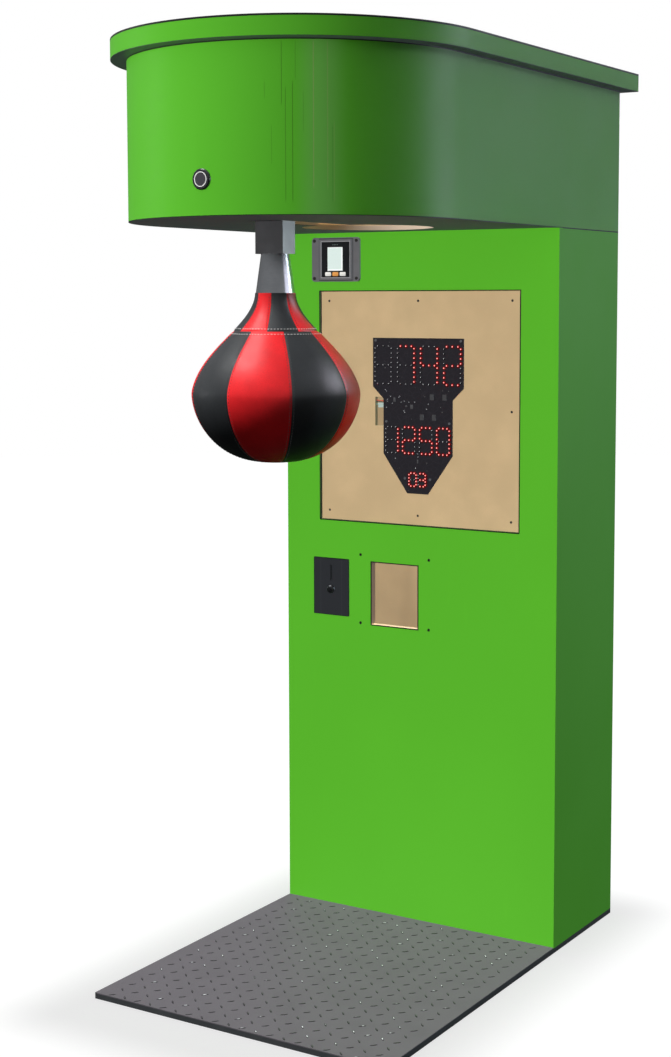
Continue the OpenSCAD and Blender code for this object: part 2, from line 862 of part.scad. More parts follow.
module coin_plate() {
    color([0.2, 0.21, 0.23]) upright(front_y - coin_t, front_y) difference() {
        rounded_2d([coin_x, coin_z], [coin_w, coin_h], 2);
        panel_2d([coin_x, coin_z + slot_up], slot_size);
        translate([coin_x, coin_z - reject_down]) circle(r = reject_r + run_gap, $fn = 48);
    }
}

// The button's flange lies behind the plate, and its stem runs into the validator
module reject_button() {
    z = coin_z - reject_down;
    color([0.16, 0.16, 0.17]) {
        rod_y(reject_r, front_y - coin_t - reject_proud, front_y + 1, coin_x, z);
        rod_y(reject_r + 2, front_y + fit_gap, front_y + fit_gap + reject_flange, coin_x, z);
        rod_y(3, front_y + fit_gap, front_y + validator_gap + 10, coin_x, z);
    }
}

module coin_validator() {
    y0 = front_y + validator_gap;
    z0 = coin_z - validator_size[2] / 2;
    color([0.25, 0.25, 0.27]) difference() {
        union() {
            block([coin_x - validator_size[0] / 2, y0, z0],
                  [coin_x + validator_size[0] / 2, validator_back, z0 + validator_size[2]]);
            for (sx = [-1, 1], sz = [-1, 1])
                rod_y(5, front_y, y0 + 1, coin_x + sx * (validator_size[0] / 2 - 7),
                      coin_z + sz * (validator_size[2] / 2 - 7));
        }
        block([coin_x - slot_size[0] / 2, y0 - cut_over, coin_z + slot_up - slot_size[1] / 2],
              [coin_x + slot_size[0] / 2, y0 + 50, coin_z + slot_up + slot_size[1] / 2]);
        rod_y(3 + run_gap, y0 - cut_over, y0 + 10 + reject_travel + 2, coin_x, coin_z - reject_down);
    }
}

// Square pipe that drops the coins from the validator into the cash box
module coin_chute() {
    top = coin_z - validator_size[2] / 2;
    color(zinc) translate([0, 0, chute_end_z]) linear_extrude(top - chute_end_z) difference() {
        panel_2d([coin_x, chute_y + chute_size[1] / 2], chute_size);
        panel_2d([coin_x, chute_y + chute_size[1] / 2], chute_size - [2, 2] * chute_wall);
    }
}

module cash_box() {
    low = [cash_left, cash_y, shelf_z + panel_t];
    color(zinc) difference() {
        block(low, low + cash_size);
        block(low + [1, 1, 1] * cash_wall, low + cash_size + [-cash_wall, -cash_wall, cut_over]);
    }
}

/* card reader */

module reader_plate() {
    color([0.38, 0.38, 0.4]) difference() {
        union() {
            upright(front_y - reader_t, front_y)
                rounded_2d([reader_x, reader_z], [reader_w, reader_h], reader_round);
            upright(front_y - reader_t - bezel_proud, front_y - 1)
                rounded_2d([reader_x, reader_z], bezel_size, 3);
        }
        upright(front_y - reader_t - bezel_proud - cut_over, front_y + cut_over)
            rounded_2d([reader_x, reader_z], unit_size + [2, 2] * fit_gap, 4);
        for (at = reader_screw_places())
            rod_y(2.2, front_y - reader_t - cut_over, front_y + cut_over, at[0], at[1]);
    }
}

function reader_screw_places() = [
    for (sx = [-1, 1], sz = [-1, 1])
        [reader_x + sx * (reader_w / 2 - reader_screw_in),
         reader_z + sz * (reader_h / 2 - reader_screw_in)]
];

module reader_unit() {
    face = front_y - reader_t - bezel_proud + unit_sunk;
    color(black) difference() {
        upright(face, face + unit_depth) rounded_2d([reader_x, reader_z], unit_size, 4);
        upright(face - cut_over, face + screen_t)
            panel_2d([reader_x, reader_z + screen_up], screen_size + [0.2, 0.2]);
    }
}

module reader_screen() {
    face = front_y - reader_t - bezel_proud + unit_sunk;
    color([0.9, 0.96, 0.95]) upright(face, face + screen_t)
        panel_2d([reader_x, reader_z + screen_up], screen_size);
}

module reader_screws() {
    color(black) for (at = reader_screw_places()) {
        rod_y(reader_screw_r, front_y - reader_t - 2, front_y - reader_t, at[0], at[1]);
        rod_y(2, front_y - reader_t - 1, front_y, at[0], at[1]);
    }
}

/* start button */

// Bezel and threaded barrel, with the nut that clamps it to the wall from the inside. The
// nut stands off by the wall's curve.
module start_button_body() {
    nut_y = start_front + head_wall_t + start_nut_gap;
    y0 = start_front - start_proud;
    color(black) difference() {
        union() {
            rod_y(start_r, y0 + start_bevel, start_front, start_x, start_z);
            translate([start_x, y0 + start_bevel, start_z]) rotate([90, 0, 0])
                cylinder(r1 = start_r, r2 = start_r - start_bevel, h = start_bevel, $fn = 64);
            rod_y(barrel_r, start_front - 1, start_front + barrel_len, start_x, start_z);
            rod_y(start_nut_r, nut_y, nut_y + start_nut_t, start_x, start_z);
        }
        rod_y(cap_r + 0.1, y0 - cut_over, start_front + cap_bore, start_x, start_z);
        rod_y(stem_r + 0.1, start_front, start_front + barrel_len + cut_over, start_x, start_z);
        rod_y(ring_r[1], y0 - cut_over, y0 + ring_t, start_x, start_z);
    }
}

module start_button_ring() {
    y0 = start_front - start_proud;
    color("white") difference() {
        rod_y(ring_r[1] - 0.1, y0 - ring_proud, y0 + ring_t, start_x, start_z);
        rod_y(ring_r[0], y0 - cut_over, y0 + ring_t + cut_over, start_x, start_z);
    }
}

// The cap slides in the bezel on a stem that runs down the barrel to the switch
module start_button_cap() {
    y0 = start_front - start_proud;
    stem_end = start_front + barrel_len - start_travel - stem_gap;
    color([0.27, 0.26, 0.29]) {
        rod_y(cap_r, y0 - cap_proud, y0 + cap_len, start_x, start_z);
        rod_y(stem_r, y0 + cap_len - 1, stem_end, start_x, start_z);
    }
}

module start_button_switch() {
    y0 = start_front + barrel_len;
    color([0.15, 0.15, 0.16])
        block([start_x - switch_size[0], y0, start_z - switch_size[2]],
              [start_x + switch_size[0], y0 + switch_size[1], start_z + switch_size[2]]);
}

/* bearings and swinging ball */

// Steel plate astride the slot, screwed down through the feet of the bearings
module bearing_plate() {
    color(zinc) translate([0, 0, bay_floor]) linear_extrude(bearing_plate_t) difference() {
        translate([-plate_half_w, plate_front]) square([2 * plate_half_w, plate_back - plate_front]);
        translate([-slot_half, slot_front]) square([2 * slot_half, plate_back - slot_front + cut_over]);
        for (x = [-1, 1] * block_x, y = [-1, 1] * block_bolt_y)
            translate([x, pivot_y + y]) circle(r = bolt_r + 0.2, $fn = 32);
    }
}

module pillow_blocks() {
    base = pivot_z - shaft_h;
    color([0.35, 0.37, 0.4]) for (side = [-1, 1]) {
        x0 = side * block_x - block_w / 2;
        difference() {
            union() {
                block([x0, pivot_y - block_len / 2, base],
                      [x0 + block_w, pivot_y + block_len / 2, base + block_foot]);
                rod_x(shaft_h - 1, x0, x0 + block_w, pivot_y, pivot_z);
                block([x0, pivot_y - shaft_h + 1, base], [x0 + block_w, pivot_y + shaft_h - 1, pivot_z]);
            }
            rod_x(shaft_r + run_gap, x0 - cut_over, x0 + block_w + cut_over, pivot_y, pivot_z);
            for (y = [-1, 1] * block_bolt_y)
                translate([side * block_x, pivot_y + y, base - cut_over])
                    cylinder(r = bolt_r + 0.2, h = block_foot + 2 * cut_over, $fn = 32);
        }
    }
}

module mechanism_bolts() {
    top = pivot_z - shaft_h + block_foot;
    depth = block_foot + bearing_plate_t + bolt_in_floor;
    color(steel) for (x = [-1, 1] * block_x, y = [-1, 1] * block_bolt_y)
        bolt([x, pivot_y + y], top, bolt_r, bolt_head_r, bolt_head_h, depth);
}

// Rubber pad on the slot's front end, which the hanging arm rests against
module rest_bumper() {
    color(black)
        block([-bumper_w / 2, slot_front, head_z],
              [bumper_w / 2, pivot_y - arm_d / 2 - fit_gap, bay_floor]);
}

module swing_shaft() {
    block_out = block_x + block_w / 2 + 0.5;
    color(steel) {
        rod_x(shaft_r, -block_out - shaft_collar_w - 2, wheel_x + wheel_t + 2, pivot_y, pivot_z);
        rod_x(shaft_collar_r, -block_out - shaft_collar_w, -block_out, pivot_y, pivot_z);
        rod_x(shaft_collar_r, block_out, block_out + shaft_collar_w, pivot_y, pivot_z);
    }
}

// Square tube with a hub for the shaft, an end plate for the ball's stud, and a horn
// that carries the latch's roller pin
module swing_arm() {
    hw = arm_w / 2;
    hd = arm_d / 2;
    horn_z = pivot_z + horn_r;
    color([0.3, 0.31, 0.32]) difference() {
        union() {
            difference() {
                block([-hw, pivot_y - hd, tube_low], [hw, pivot_y + hd, tube_top]);
                block([arm_wall - hw, pivot_y - hd + arm_wall, tube_low + end_plate_t],
                      [hw - arm_wall, pivot_y + hd - arm_wall, tube_top - arm_wall]);
            }
            rod_x(hub_r, -hw + 1, hw - 1, pivot_y, pivot_z);
            sideways(-horn_t / 2, horn_t / 2)
                link_2d([pivot_y, tube_top + horn_end_r - arm_wall], [pivot_y, horn_z], horn_end_r);
            rod_x(roller_r, -roller_half, roller_half, pivot_y, horn_z);
        }
        rod_x(shaft_r + run_gap, -hw - cut_over, hw + cut_over, pivot_y, pivot_z);
        translate([0, pivot_y, tube_low - cut_over])
            cylinder(r = stud_r + stud_gap, h = end_plate_t + 2 * cut_over, $fn = 48);
    }
}

module arm_collar() {
    color([0.8, 0.82, 0.84]) translate([0, pivot_y, ball_top]) difference() {
        cylinder(r1 = collar_low_r, r2 = collar_top_r, h = collar_h, $fn = 96);
        translate([0, 0, -0.01])
            cylinder(r1 = collar_low_r - collar_wall, r2 = collar_top_r - collar_wall,
                     h = collar_h - 4, $fn = 96);
        cylinder(r = stud_r + stud_gap, h = collar_h + cut_over, $fn = 48);
    }
}

module ball_stud() {
    color(steel) {
        translate([0, pivot_y, ball_top - stud_in_ball])
            cylinder(r = stud_r, h = collar_h + end_plate_t + stud_in_ball + 5, $fn = 48);
        translate([0, pivot_y, tube_low + end_plate_t]) cylinder(r = 13, h = 10, $fn = 6);
    }
}

// Radius of the ball at a share u of the way from its widest place up to the neck:
// half a cosine wave, drawn out a little at its ends
function neck_radius(u) =
    collar_low_r + (ball_r - collar_low_r) * (1 + cos(180 * pow(u, 0.88 + 0.18 * u))) / 2;

// Half outline of the ball, drawn in by a wall's thickness and cut off at a share of
// its pear-shaped part
function ball_outline(wall, share) = let (steps = 20) concat(
    [for (k = [0:steps]) let (a = 90 * k / steps)
        [(ball_r - wall) * sin(a), -(ball_down - wall) * cos(a)]],
    [for (k = [1:steps]) let (u = share * k / steps) [neck_radius(u) - wall, ball_up * u]],
    [[0, ball_up * share]]
);

// The padded leather, hollow under the neck, which is solid round the stud
module ball() {
    color([0.85, 0.18, 0.2]) translate([0, pivot_y, ball_mid]) difference() {
        rotate_extrude($fn = 96) polygon(ball_outline(0, 1));
        rotate_extrude($fn = 96) polygon(ball_outline(ball_wall, 1 - neck_solid / ball_up));
        translate([0, 0, ball_up - stud_in_ball - 1])
            cylinder(r = stud_r + run_gap, h = stud_in_ball + 2, $fn = 48);
    }
}

/* speed sensor */

module code_wheel() {
    color([0.2, 0.2, 0.22]) difference() {
        union() {
            rod_x(wheel_r, wheel_x, wheel_x + wheel_t, pivot_y, pivot_z);
            rod_x(wheel_hub_r, wheel_x - 10, wheel_x + 0.5, pivot_y, pivot_z);
        }
        rod_x(shaft_r + run_gap, wheel_x - 12, wheel_x + wheel_t + cut_over, pivot_y, pivot_z);
        for (k = [0:wheel_slots - 1])
            translate([wheel_x, pivot_y, pivot_z]) rotate([k * 360 / wheel_slots, 0, 0])
                block([-cut_over, -1, wheel_hub_r + 1.5], [wheel_t + cut_over, 1, wheel_r - 1.5]);
    }
}

// Fork that straddles the code wheel's rim, on its foot
module swing_sensor() {
    x0 = wheel_x - 6;
    x1 = wheel_x + wheel_t + 6;
    y0 = pivot_y - 10;
    y1 = pivot_y + 10;
    z1 = pivot_z + wheel_r + 8;
    color([0.12, 0.12, 0.13]) {
        difference() {
            block([x0, y0, pivot_z + wheel_hub_r + 2], [x1, y1, z1]);
            block([wheel_x - 2, y0 - 1, pivot_z], [wheel_x + wheel_t + 2, y1 + 1, pivot_z + wheel_r + 3]);
        }
        block([x1, y0, bay_floor], [x1 + 4, y1, z1]);
        block([x1, y0, bay_floor], [x1 + 26, y1, bay_floor + 3]);
    }
}

/* latch that holds the ball up between games */

module latch_bracket() {
    y0 = solenoid_y;
    y1 = latch_y + 18;
    color(zinc) {
        block([-cheek_x[1], y0, bay_floor], [cheek_x[1], y1, bay_floor + 3]);
        for (side = [-1, 1]) {
            x0 = side > 0 ? cheek_x[0] : -cheek_x[1];
            block([x0, latch_y - 14, bay_floor],
                  [x0 + cheek_x[1] - cheek_x[0], latch_y + 14, latch_z + 12]);
        }
        rod_x(pawl_pin_r, -cheek_x[1] - 1, cheek_x[1] + 1, latch_y, latch_z);
        block([-solenoid_size[0] / 2, solenoid_y, bay_floor],
              [solenoid_size[0] / 2, solenoid_y + solenoid_size[1], tail_z - solenoid_size[2] / 2]);
    }
}

// Two noses on a hub, with a tail between them that the plunger pushes. It is drawn
// as it stands when it holds the roller, then turned clear of it.
module latch_pawl() {
    nose = [nose_y - latch_y, nose_z - latch_z];
    tail_back = latch_turn / 2;
    color([0.6, 0.6, 0.62]) translate([0, latch_y, latch_z]) difference() {
        union() {
            rotate([latch_turn, 0, 0]) for (x0 = [pawl_inner, -pawl_half])
                sideways(x0, x0 + pawl_half - pawl_inner) finger_2d(nose, nose_r);
            rod_x(pawl_hub_r, -pawl_half - 0.5, pawl_half + 0.5, 0, 0);
            sideways(-4, 4) finger_2d(tail_len * [sin(tail_back), -cos(tail_back)], tail_r);
        }
        rod_x(pawl_pin_r + run_gap, -pawl_half - 1, pawl_half + 1, 0, 0);
    }
}

module solenoid() {
    color([0.45, 0.3, 0.2]) difference() {
        block([-solenoid_size[0] / 2, solenoid_y, tail_z - solenoid_size[2] / 2],
              [solenoid_size[0] / 2, solenoid_y + solenoid_size[1], tail_z + solenoid_size[2] / 2]);
        rod_y(plunger_r + run_gap, solenoid_y + 2, solenoid_y + solenoid_size[1] + cut_over, 0, tail_z);
    }
}

module solenoid_plunger() {
    color(steel) rod_y(plunger_r, plunger_tip - plunger_len, plunger_tip, 0, tail_z);
}

base_board();
tread_plate();
side_panel_left();
side_panel_right();
front_panel();
cabinet_battens();
shelf();
rear_kick_panel();
power_inlet();
power_supply();
service_door();
hinge_leaves_fixed();
hinge_leaves_door();
lock_body();
lock_cam();
head_floor();
head_wall();
head_rear_panel();
head_battens();
lid_board();
lid_cover();
display_board();
display_battens();
edge_trims();
display_screws();
score_board();
score_board_screws();
score_board_chips();
leds_lit();
leds_unlit();
display_cable();
control_unit();
coin_plate();
reject_button();
coin_validator();
coin_chute();
cash_box();
reader_plate();
reader_unit();
reader_screen();
reader_screws();
start_button_body();
start_button_ring();
start_button_cap();
start_button_switch();
bearing_plate();
pillow_blocks();
mechanism_bolts();
rest_bumper();
swing_shaft();
swing_arm();
arm_collar();
ball_stud();
ball();
code_wheel();
swing_sensor();
latch_bracket();
latch_pawl();
solenoid();
solenoid_plunger();
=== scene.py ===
"""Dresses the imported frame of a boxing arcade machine: boards, leather ball, lamps and metal.

Metres, +Z up. The player stands at -Y. The frame's nodes keep their shape; the ball, the
tread plate's lozenges, the lamps and other small pieces are worked out here.
"""

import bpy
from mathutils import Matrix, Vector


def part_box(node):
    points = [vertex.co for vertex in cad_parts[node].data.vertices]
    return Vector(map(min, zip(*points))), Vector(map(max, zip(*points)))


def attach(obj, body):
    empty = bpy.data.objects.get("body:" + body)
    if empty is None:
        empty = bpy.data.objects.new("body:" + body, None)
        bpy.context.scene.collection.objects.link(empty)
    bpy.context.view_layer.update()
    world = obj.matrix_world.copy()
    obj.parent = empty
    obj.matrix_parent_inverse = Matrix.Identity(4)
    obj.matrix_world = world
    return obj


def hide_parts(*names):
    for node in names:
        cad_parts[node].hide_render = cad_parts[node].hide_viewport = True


bl_info = {
    "name": "Boxing arcade machine",
    "version": (1, 0, 0),
    "blender": (4, 5, 0),
    "location": "View3D > Sidebar > Machine",
    "description": "Finishes and detailed pieces for the boxing arcade machine",
    "category": "Object",
}

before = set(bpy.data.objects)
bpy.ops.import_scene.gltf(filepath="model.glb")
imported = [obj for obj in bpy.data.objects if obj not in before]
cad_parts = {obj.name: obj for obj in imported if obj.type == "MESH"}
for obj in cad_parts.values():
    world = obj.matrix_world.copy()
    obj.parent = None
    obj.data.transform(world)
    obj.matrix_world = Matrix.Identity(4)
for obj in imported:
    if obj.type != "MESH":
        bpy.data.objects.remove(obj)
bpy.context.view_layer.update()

import math

import bpy
import numpy as np
from bpy.props import FloatProperty, FloatVectorProperty, IntProperty, PointerProperty

MM = 0.001
WHITE = (1.0, 1.0, 1.0)
COOL = (0.78, 0.92, 1.0)
# How deep a face's own colour goes into its board: painted undersides, and fronts and backs
UNDER_DEPTH = 0.4 * MM
FACE_DEPTH = 0.5 * MM


def paint(red, green, blue):
    """A linear colour from screen values of 0 to 255."""
    channels = []
    for value in (red, green, blue):
        part = value / 255
        channels.append(part / 12.92 if part <= 0.04045 else ((part + 0.055) / 1.055) ** 2.4)
    return tuple(channels)


def colour_property(name, description, red, green, blue):
    """A colour that the user may change, given by its screen values."""
    return FloatVectorProperty(name=name, description=description, subtype="COLOR", size=3,
                               min=0.0, max=1.0, default=paint(red, green, blue))


def length_property(name, description, millimetres):
    """A length that the user may change, given in millimetres."""
    return FloatProperty(name=name, description=description, subtype="DISTANCE", unit="LENGTH",
                         default=millimetres * MM)


def number_property(name, description, value):
    """A plain number that the user may change."""
    return FloatProperty(name=name, description=description, default=value)


class StageSettings(bpy.types.PropertyGroup):
    key: number_property("Key light", "Strength of the lamp at the front left", 5.48)
    gloss: number_property("Key gloss", "Strength of the key light's reflections", 2.2)
    side: number_property("Side light", "Strength of the cool lamp at the right rear", 1.12)
    edge: number_property("Edge light", "Strength of the weak lamp at the left", 0.09)
    shine: number_property("Ball light", "Strength of the lamp that the ball's side mirrors", 1.5)
    sheen: number_property("Metal light", "Strength of the wide lamp that bare metal mirrors", 2.2)
    under: number_property("Light from below", "Strength of the lamp under the head", 0.8)
    sky: number_property("Sky", "Brightness of the sky overhead", 0.27)
    ground: number_property("Ground", "Brightness of what lies below the horizon", 0.03)
    floor_radius: length_property("Floor", "Radius of the floor", 14000)
    contact: number_property("Soft shadow", "How light the floor stays beside the base", 0.715)


class BoardSettings(bpy.types.PropertyGroup):
    green: colour_property("Green", "Laminate on the cabinet and the head", 88, 180, 42)
    raw: colour_property("Raw board", "Cut edges and inner faces of the boards", 204, 177, 135)
    wood: colour_property("Softwood", "Battens", 205, 174, 122)
    dark: colour_property("Dark board", "Paint on the base board", 52, 54, 56)
    under: colour_property("Underside", "Paint under the head", 84, 92, 94)
    joint: colour_property("Joint", "Dark lines where boards meet", 34, 44, 30)
    # Near black: painted shade on the front panel's cut edges, inside its holes and openings
    cut_edge_shade: colour_property("Sealed edge", "Sealer on the front panel's cut edges", 36, 34, 33)
    cover: colour_property("Lid cover", "Sheet on the lid", 30, 31, 32)
    skin_depth: length_property("Laminate", "Thickness of the laminate at a cut edge", 0.8)


class TreadSettings(bpy.types.PropertyGroup):
    pitch: length_property("Pitch", "Distance from lozenge to lozenge", 35.1)
    length: length_property("Length", "Length of a lozenge", 18)
    width: length_property("Width", "Width of a lozenge", 4.4)
    height: length_property("Height", "How far a lozenge stands up", 1.1)
    colour: colour_property("Colour", "Worn aluminium", 92, 88, 93)


class BallSettings(bpy.types.PropertyGroup):
    radius: length_property("Radius", "Largest radius of the ball", 178)
    middle: length_property("Middle", "Height of the widest place above the floor", 1342)
    lower: length_property("Lower part", "From the widest place down", 145)
    upper: length_property("Upper part", "From the widest place up to the collar", 213)
    neck: length_property("Neck", "Radius at the collar", 43)
    seam_height: length_property("Cross seam", "Height of the level seam", 1475)
    seam_depth: length_property("Seam depth", "How deep a seam is drawn in", 1.2)
    seam_width: length_property("Seam width", "Width of the groove at a seam", 5)
    crown: length_property("Crown", "How far each panel stands out between its seams", 1.6)
    stitch: length_property("Stitch", "Length of a stitch", 4.6)
    stitch_pitch: length_property("Stitch pitch", "Distance from stitch to stitch", 6.8)
    stitch_width: length_property("Thread", "Width of the thread", 1.5)
    red: colour_property("Red leather", "Every other panel", 218, 33, 38)
    black: colour_property("Black leather", "The panels between", 48, 50, 52)
    thread: colour_property("Thread", "Thread of the level seam", 236, 234, 230)


class LampSettings(bpy.types.PropertyGroup):
    lit: colour_property("Lit", "Lens of a lit lamp", 255, 40, 50)
    unlit: colour_property("Unlit", "Glint on a lamp that is off", 206, 206, 210)
    strength: number_property("Brightness", "Strength of a lit lamp", 1.25)
    rounds: IntProperty(name="Sides", description="Sides of a lamp's dome", default=12)


class MetalSettings(bpy.types.PropertyGroup):
    arm: colour_property("Arm", "Paint on the arm", 62, 62, 64)
    collar: colour_property("Collar", "Turned steel of the collar", 196, 198, 202)
    zinc: colour_property("Zinc", "Plated sheet", 168, 172, 176)
    steel: colour_property("Steel", "Shafts, bolts and screws", 186, 188, 192)
    reader: colour_property("Reader plate", "Plate round the card reader", 101, 101, 104)
    coin: colour_property("Coin plate", "Coated plate of the coin unit", 47, 49, 53)


# Where things are, read from the frame

def low(node):
    """The lowest corner of a node."""
    return np.array(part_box(node)[0])


def high(node):
    """The highest corner of a node."""
    return np.array(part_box(node)[1])


def solids_in(node):
    """The lowest and highest corners of each separate solid in a node.

    Each corner starts with its own number. Every triangle gives its corners the least
    number among them, again and again, until nothing changes: one number is one solid."""
    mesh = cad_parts[node].data
    points = np.empty(len(mesh.vertices) * 3)
    mesh.vertices.foreach_get("co", points)
    corners, where = np.unique(points.reshape(-1, 3).round(6), axis=0, return_inverse=True)
    loops = np.empty(len(mesh.loops), int)
    mesh.loops.foreach_get("vertex_index", loops)
    triangles = where.reshape(-1)[loops].reshape(-1, 3)
    label = np.arange(len(corners))
    while True:
        lower = label.copy()
        least = lower[triangles].min(axis=1)
        np.minimum.at(lower, triangles, least[:, None])
        lower = lower[lower]
        if (lower == label).all():
            break
        label = lower
    group = np.unique(label, return_inverse=True)[1].reshape(-1)
    lowest = np.full((group.max() + 1, 3), np.inf)
    highest = -lowest
    np.minimum.at(lowest, group, corners)
    np.maximum.at(highest, group, corners)
    return lowest, highest


# Surfaces

def ring_faces(rows, columns):
    """Quads between rings: corner j of ring i meets corner j + 1 of it and of ring i + 1."""
    i, j = np.meshgrid(np.arange(rows - 1), np.arange(columns), indexing="ij")
    k = (j + 1) % columns
    quads = np.stack([i * columns + j, i * columns + k,
                      (i + 1) * columns + k, (i + 1) * columns + j], axis=-1)
    return quads.reshape(-1, 4)


def cap_faces(first, columns, pole, upward):
    """Triangles from a ring to one point at its middle."""
    j = first + np.arange(columns)
    k = first + (np.arange(columns) + 1) % columns
    tip = np.full(columns, pole)
    return np.stack([j, k, tip] if upward else [k, j, tip], axis=-1)


def closed_rings(rings, bottom, top):
    """A closed surface through rings of points, with a point at either end.

    Rings run counter-clockwise seen from the top, so that faces point outwards. A shape is
    its points and a list of arrays of faces: here quads, then triangles."""
    rows, columns = rings.shape[:2]
    points = np.concatenate([rings.reshape(-1, 3), [bottom], [top]])
    below = cap_faces(0, columns, rows * columns, False)
    above = cap_faces((rows - 1) * columns, columns, rows * columns + 1, True)
    return points, [ring_faces(rows, columns), np.concatenate([below, above])]


def turned(profile, sides):
    """A turned shape: radius and height pairs carried round the Z axis in equal steps.

    The first and last pair give the heights of its two end points."""
    angle = np.arange(sides) * 2 * math.pi / sides
    inner = np.asarray(profile[1:-1], float)
    rings = np.stack([inner[:, :1] * np.cos(angle), inner[:, :1] * np.sin(angle),
                      np.repeat(inner[:, 1:], sides, axis=1)], axis=-1)
    return closed_rings(rings, (0, 0, profile[0][1]), (0, 0, profile[-1][1]))


def rounded_outline(half_w, half_h, radius, steps=6):
    """A rectangle with round corners: four quarter circles, each moved out to its corner."""
    angle = np.linspace(0, math.pi / 2, steps)
    quarters = []
    for k, (sx, sy) in enumerate([(1, 1), (-1, 1), (-1, -1), (1, -1)]):
        turn = angle + k * math.pi / 2
        quarters.append(np.stack([sx * (half_w - radius) + radius * np.cos(turn),
                                  sy * (half_h - radius) + radius * np.sin(turn)], axis=-1))
    return np.concatenate(quarters)


def rounded_plate(half_w, half_h, thickness, corner, edge, steps=4):
    """A plate whose upper edge is rounded: its outline shrinks by edge times 1 - cos a
    while it rises to edge times 1 - sin a below the top."""
    levels = [(0.0, 0.0)] + [(edge * (1 - math.cos(a)), thickness - edge * (1 - math.sin(a)))
                             for a in np.linspace(0, math.pi / 2, steps)]
    rings = []
    for shrink, height in levels:
        line = rounded_outline(half_w - shrink, half_h - shrink, max(corner - shrink, 1e-5))
        rings.append(np.column_stack([line, np.full(len(line), height)]))
    return closed_rings(np.stack(rings), (0, 0, 0), (0, 0, thickness))


def quarter_ellipse(radius, height, steps):
    """Profile of a dome, without its tip: radius times cos a and height times sin a."""
    angle = np.linspace(0, math.pi / 2, steps)[:-1]
    return np.column_stack([radius * np.cos(angle), height * np.sin(angle)])


def dome(radius, height):
    """A low dome whose foot is sunk a little into what it stands on."""
    sunk = -0.2 * MM
    curve = quarter_ellipse(radius, height, 4)
    return turned([(0, sunk), (radius, sunk), *curve, (0, height)], 10)


def copies(shape, places, along, across, out):
    """One shape repeated: each copy's place and axes are rows of four arrays."""
    points, faces = shape
    moved = (places[:, None] + points[:, :1] * along[:, None]
             + points[:, 1:2] * across[:, None] + points[:, 2:] * out[:, None])
    start = np.arange(len(places))[:, None, None] * len(points)
    return moved.reshape(-1, 3), [(start + block).reshape(-1, block.shape[1]) for block in faces]


def facing_player(shape, places):
    """Copies of a shape that was drawn lying on its back, each turned to face -Y."""
    places = np.atleast_2d(places)
    axes = np.broadcast_to(np.eye(3), (len(places), 3, 3))
    return copies(shape, places, axes[:, 0], axes[:, 2], -axes[:, 1])


def merged(shapes):
    """Several shapes as one."""
    starts = np.cumsum([0] + [len(points) for points, _ in shapes])
    faces = [block + start for (_, blocks), start in zip(shapes, starts) for block in blocks]
    return np.concatenate([points for points, _ in shapes]), faces


def make_object(name, shape, *materials):
    """Puts a shape into the scene."""
    points, faces = shape
    mesh = bpy.data.meshes.new(name)
    mesh.from_pydata(points.tolist(), [], [face for block in faces for face in block.tolist()])
    for material in materials:
        mesh.materials.append(material)
    made = bpy.data.objects.new(name, mesh)
    bpy.context.scene.collection.objects.link(made)
    return made


def make_piece(name, shape, materials, body, replaces=(), sharp=32, kinds=None):
    """Puts a shape into the scene as a smooth piece that rides on a body. Edges sharper
    than an angle in degrees stay sharp, and kinds tell which material each face has."""
    piece = make_object(name, shape, *materials)
    mesh = piece.data
    mesh.polygons.foreach_set("use_smooth", np.ones(len(mesh.polygons), bool))
    if kinds is not None:
        mesh.polygons.foreach_set("material_index", np.asarray(kinds, np.int32))
    mesh.set_sharp_from_angle(angle=math.radians(sharp))
    mesh.update()
    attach(piece, body)
    if replaces:
        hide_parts(*replaces)
    return piece


# Finishes

def put(tree, socket, value):
    """Links a node's output to a socket, or gives the socket a constant."""
    if isinstance(value, bpy.types.NodeSocket):
        tree.links.new(value, socket)
    elif socket.type == "RGBA":
        socket.default_value = (*value, 1.0)
    else:
        socket.default_value = value


def add_node(tree, kind, inputs, **settings):
    """A node with its settings, its inputs linked or set, found by name or number."""
    made = tree.nodes.new("ShaderNode" + kind)
    for key, value in settings.items():
        setattr(made, key, value)
    for key, value in inputs.items():
        put(tree, made.inputs[key], value)
    return made


